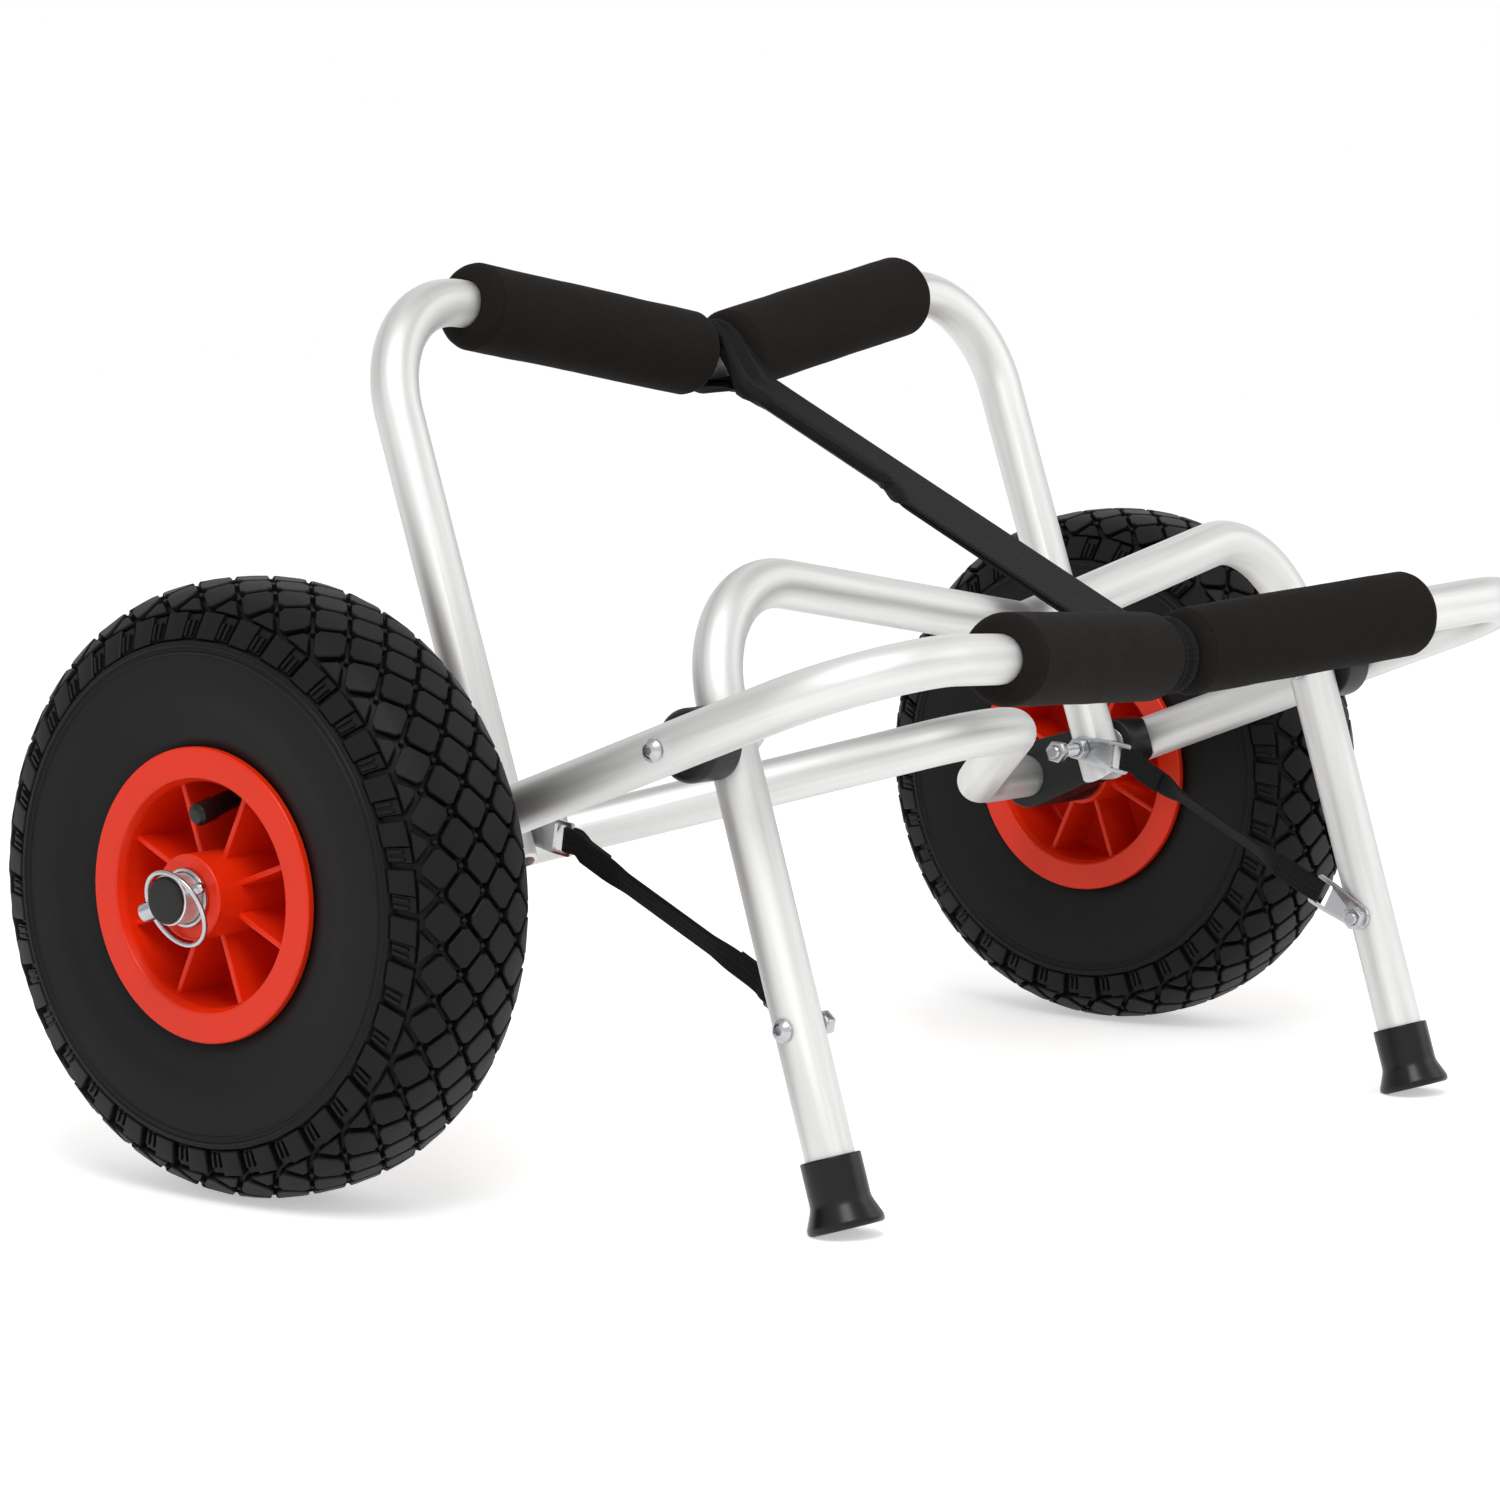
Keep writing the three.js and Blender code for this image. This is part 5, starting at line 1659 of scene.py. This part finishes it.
class KAYAKCART_OT_stage(bpy.types.Operator):
    """Build the floor, the lamps, the world and the camera"""
    bl_idname = "kayak_cart.stage"
    bl_label = "Stage"

    azimuth = math.radians(-51.299)
    elevation = math.radians(6.464)
    roll = math.radians(0.62)
    sensor = 36
    floor_half = 6.0

    def camera(self, context):
        """The camera at the photograph's place, with its slight roll."""
        sizes = settings("stage")
        back = Vector((math.sin(self.azimuth) * math.cos(self.elevation),
                       -math.cos(self.azimuth) * math.cos(self.elevation), math.sin(self.elevation)))
        level = (-back).cross(Vector((0, 0, 1))).normalized()
        upright = level.cross(-back)
        right = level * math.cos(self.roll) + upright * math.sin(self.roll)
        up = upright * math.cos(self.roll) - level * math.sin(self.roll)
        data = bpy.data.cameras.new("camera")
        data.lens = sizes.lens
        data.sensor_width = self.sensor
        made = bpy.data.objects.new("camera", data)
        turn = Matrix((right, up, back)).transposed().to_4x4()
        made.matrix_world = Matrix.Translation(Vector(sizes.camera_place)) @ turn
        context.scene.collection.objects.link(made)
        context.scene.camera = made

    def lamp(self, context, name, place, power, width):
        """A soft square lamp that faces the cart."""
        data = bpy.data.lights.new(name, "AREA")
        data.energy = power
        data.size = width
        made = bpy.data.objects.new(name, data)
        made.location = place
        aim = Vector((0, 0, 0.15)) - Vector(place)
        made.rotation_euler = aim.to_track_quat("-Z", "Y").to_euler()
        context.scene.collection.objects.link(made)

    def floor(self, context):
        """A white floor that keeps the cart's soft shadow."""
        material, tree, shader = begin("matt_white_floor", Roughness=0.9)
        shader.inputs["Base Color"].default_value = settings("stage").floor
        ray = add(tree, "LightPath")
        seen = add(tree, "Math", {0: ray.outputs["Is Camera Ray"], 1: ray.outputs["Is Glossy Ray"]},
                   operation="MAXIMUM")
        seen = add(tree, "Math", {0: seen.outputs[0], 1: ray.outputs["Is Transmission Ray"]},
                   operation="MAXIMUM")
        lift = add(tree, "Math", {0: seen.outputs[0], 1: 0.45}, operation="MULTIPLY")
        glow = add(tree, "Emission", {"Color": (1, 1, 1, 1), "Strength": lift.outputs[0]})
        both = add(tree, "AddShader", {0: shader.outputs[0], 1: glow.outputs[0]})
        tree.links.new(both.outputs[0], tree.nodes["Material Output"].inputs["Surface"])
        shell = Shell()
        half = self.floor_half
        sunk = -0.2 * MM
        shell.grid([[Vector((x, -half, sunk)), Vector((x, half, sunk))] for x in (-half, half)],
                   wrap_columns=False)
        made = shell.piece("floor")
        made.data.materials.append(material)

    def world(self, context):
        """An even white surround; metal mirrors it with grey flanks, as between two grey walls."""
        made = bpy.data.worlds.new("studio")
        made.use_nodes = True
        tree = made.node_tree
        tree.nodes.clear()
        ray = add(tree, "LightPath")
        straight = {0: ray.outputs["Is Camera Ray"], 1: ray.outputs["Is Transmission Ray"]}
        seen = add(tree, "Math", straight, operation="MAXIMUM")
        plain = add(tree, "MapRange", {"Value": seen.outputs[0], "To Min": 0.6, "To Max": 1.0})
        place = add(tree, "TexCoord")
        toward = Vector(settings("stage").camera_place).normalized()
        along = add(tree, "VectorMath", {0: place.outputs["Generated"], 1: toward},
                    operation="DOT_PRODUCT")
        depth = add(tree, "Math", {0: along.outputs["Value"]}, operation="ABSOLUTE")
        walls = add(tree, "MapRange", {"Value": depth.outputs[0], "From Min": 0.1, "From Max": 0.7,
                                       "To Min": 0.6, "To Max": 1.0}, interpolation_type="SMOOTHSTEP")
        strength = add(tree, "Mix", {0: ray.outputs["Is Glossy Ray"], 2: plain.outputs[0],
                                     3: walls.outputs[0]})
        sky = add(tree, "Background", {"Color": (1, 1, 1, 1), "Strength": strength.outputs[0]})
        add(tree, "OutputWorld", {"Surface": sky.outputs[0]})
        context.scene.world = made

    def execute(self, context):
        sizes = settings("stage")
        self.camera(context)
        self.floor(context)
        self.world(context)
        self.lamp(context, "key_lamp", (-1.4, -1.0, 2.2), sizes.key_power, 1.2)
        self.lamp(context, "fill_lamp", (1.6, -1.8, 1.4), sizes.fill_power, 1.6)
        context.scene.view_settings.view_transform = "Standard"
        return {"FINISHED"}


class KAYAKCART_PT_panel(bpy.types.Panel):
    """Lists the cart's pieces and their settings"""
    bl_idname = "KAYAKCART_PT_panel"
    bl_label = "Kayak Cart"
    bl_space_type = "VIEW_3D"
    bl_region_type = "UI"
    bl_category = "Kayak Cart"

    def draw(self, context):
        """Shows each group of settings, then a button for each piece."""
        for group in GROUPS:
            box = self.layout.box()
            box.label(text=group.capitalize())
            for name in GROUPS[group].__annotations__:
                box.prop(getattr(context.scene, f"kayak_cart_{group}"), name)
        for operator in OPERATORS:
            self.layout.operator(operator.bl_idname)


GROUPS = {
    "tubes": TubeSettings,
    "pads": PadSettings,
    "straps": StrapSettings,
    "tyres": TyreSettings,
    "rims": RimSettings,
    "fittings": FittingSettings,
    "stage": StageSettings,
}

OPERATORS = (
    KAYAKCART_OT_stage,
    KAYAKCART_OT_frames,
    KAYAKCART_OT_axle,
    KAYAKCART_OT_pads,
    KAYAKCART_OT_feet,
    KAYAKCART_OT_brackets,
    KAYAKCART_OT_fasteners,
    KAYAKCART_OT_clips,
    KAYAKCART_OT_stand_straps,
    KAYAKCART_OT_cradle_strap,
    KAYAKCART_OT_tyres,
    KAYAKCART_OT_rims,
    KAYAKCART_OT_valves,
    KAYAKCART_OT_retainers,
)


def register():
    """Registers the settings, the operators and the panel."""
    for group, settings_class in GROUPS.items():
        bpy.utils.register_class(settings_class)
        setattr(bpy.types.Scene, f"kayak_cart_{group}", PointerProperty(type=settings_class))
    for operator in OPERATORS:
        bpy.utils.register_class(operator)
    bpy.utils.register_class(KAYAKCART_PT_panel)


def unregister():
    """Takes the panel, the operators and the settings out again."""
    bpy.utils.unregister_class(KAYAKCART_PT_panel)
    for operator in reversed(OPERATORS):
        bpy.utils.unregister_class(operator)
    for group, settings_class in reversed(GROUPS.items()):
        delattr(bpy.types.Scene, f"kayak_cart_{group}")
        bpy.utils.unregister_class(settings_class)


def main():
    """Builds the whole cart."""
    register()
    for operator in OPERATORS:
        category, name = operator.bl_idname.split(".")
        getattr(getattr(bpy.ops, category), name)()


if __name__ == "__main__":
    main()
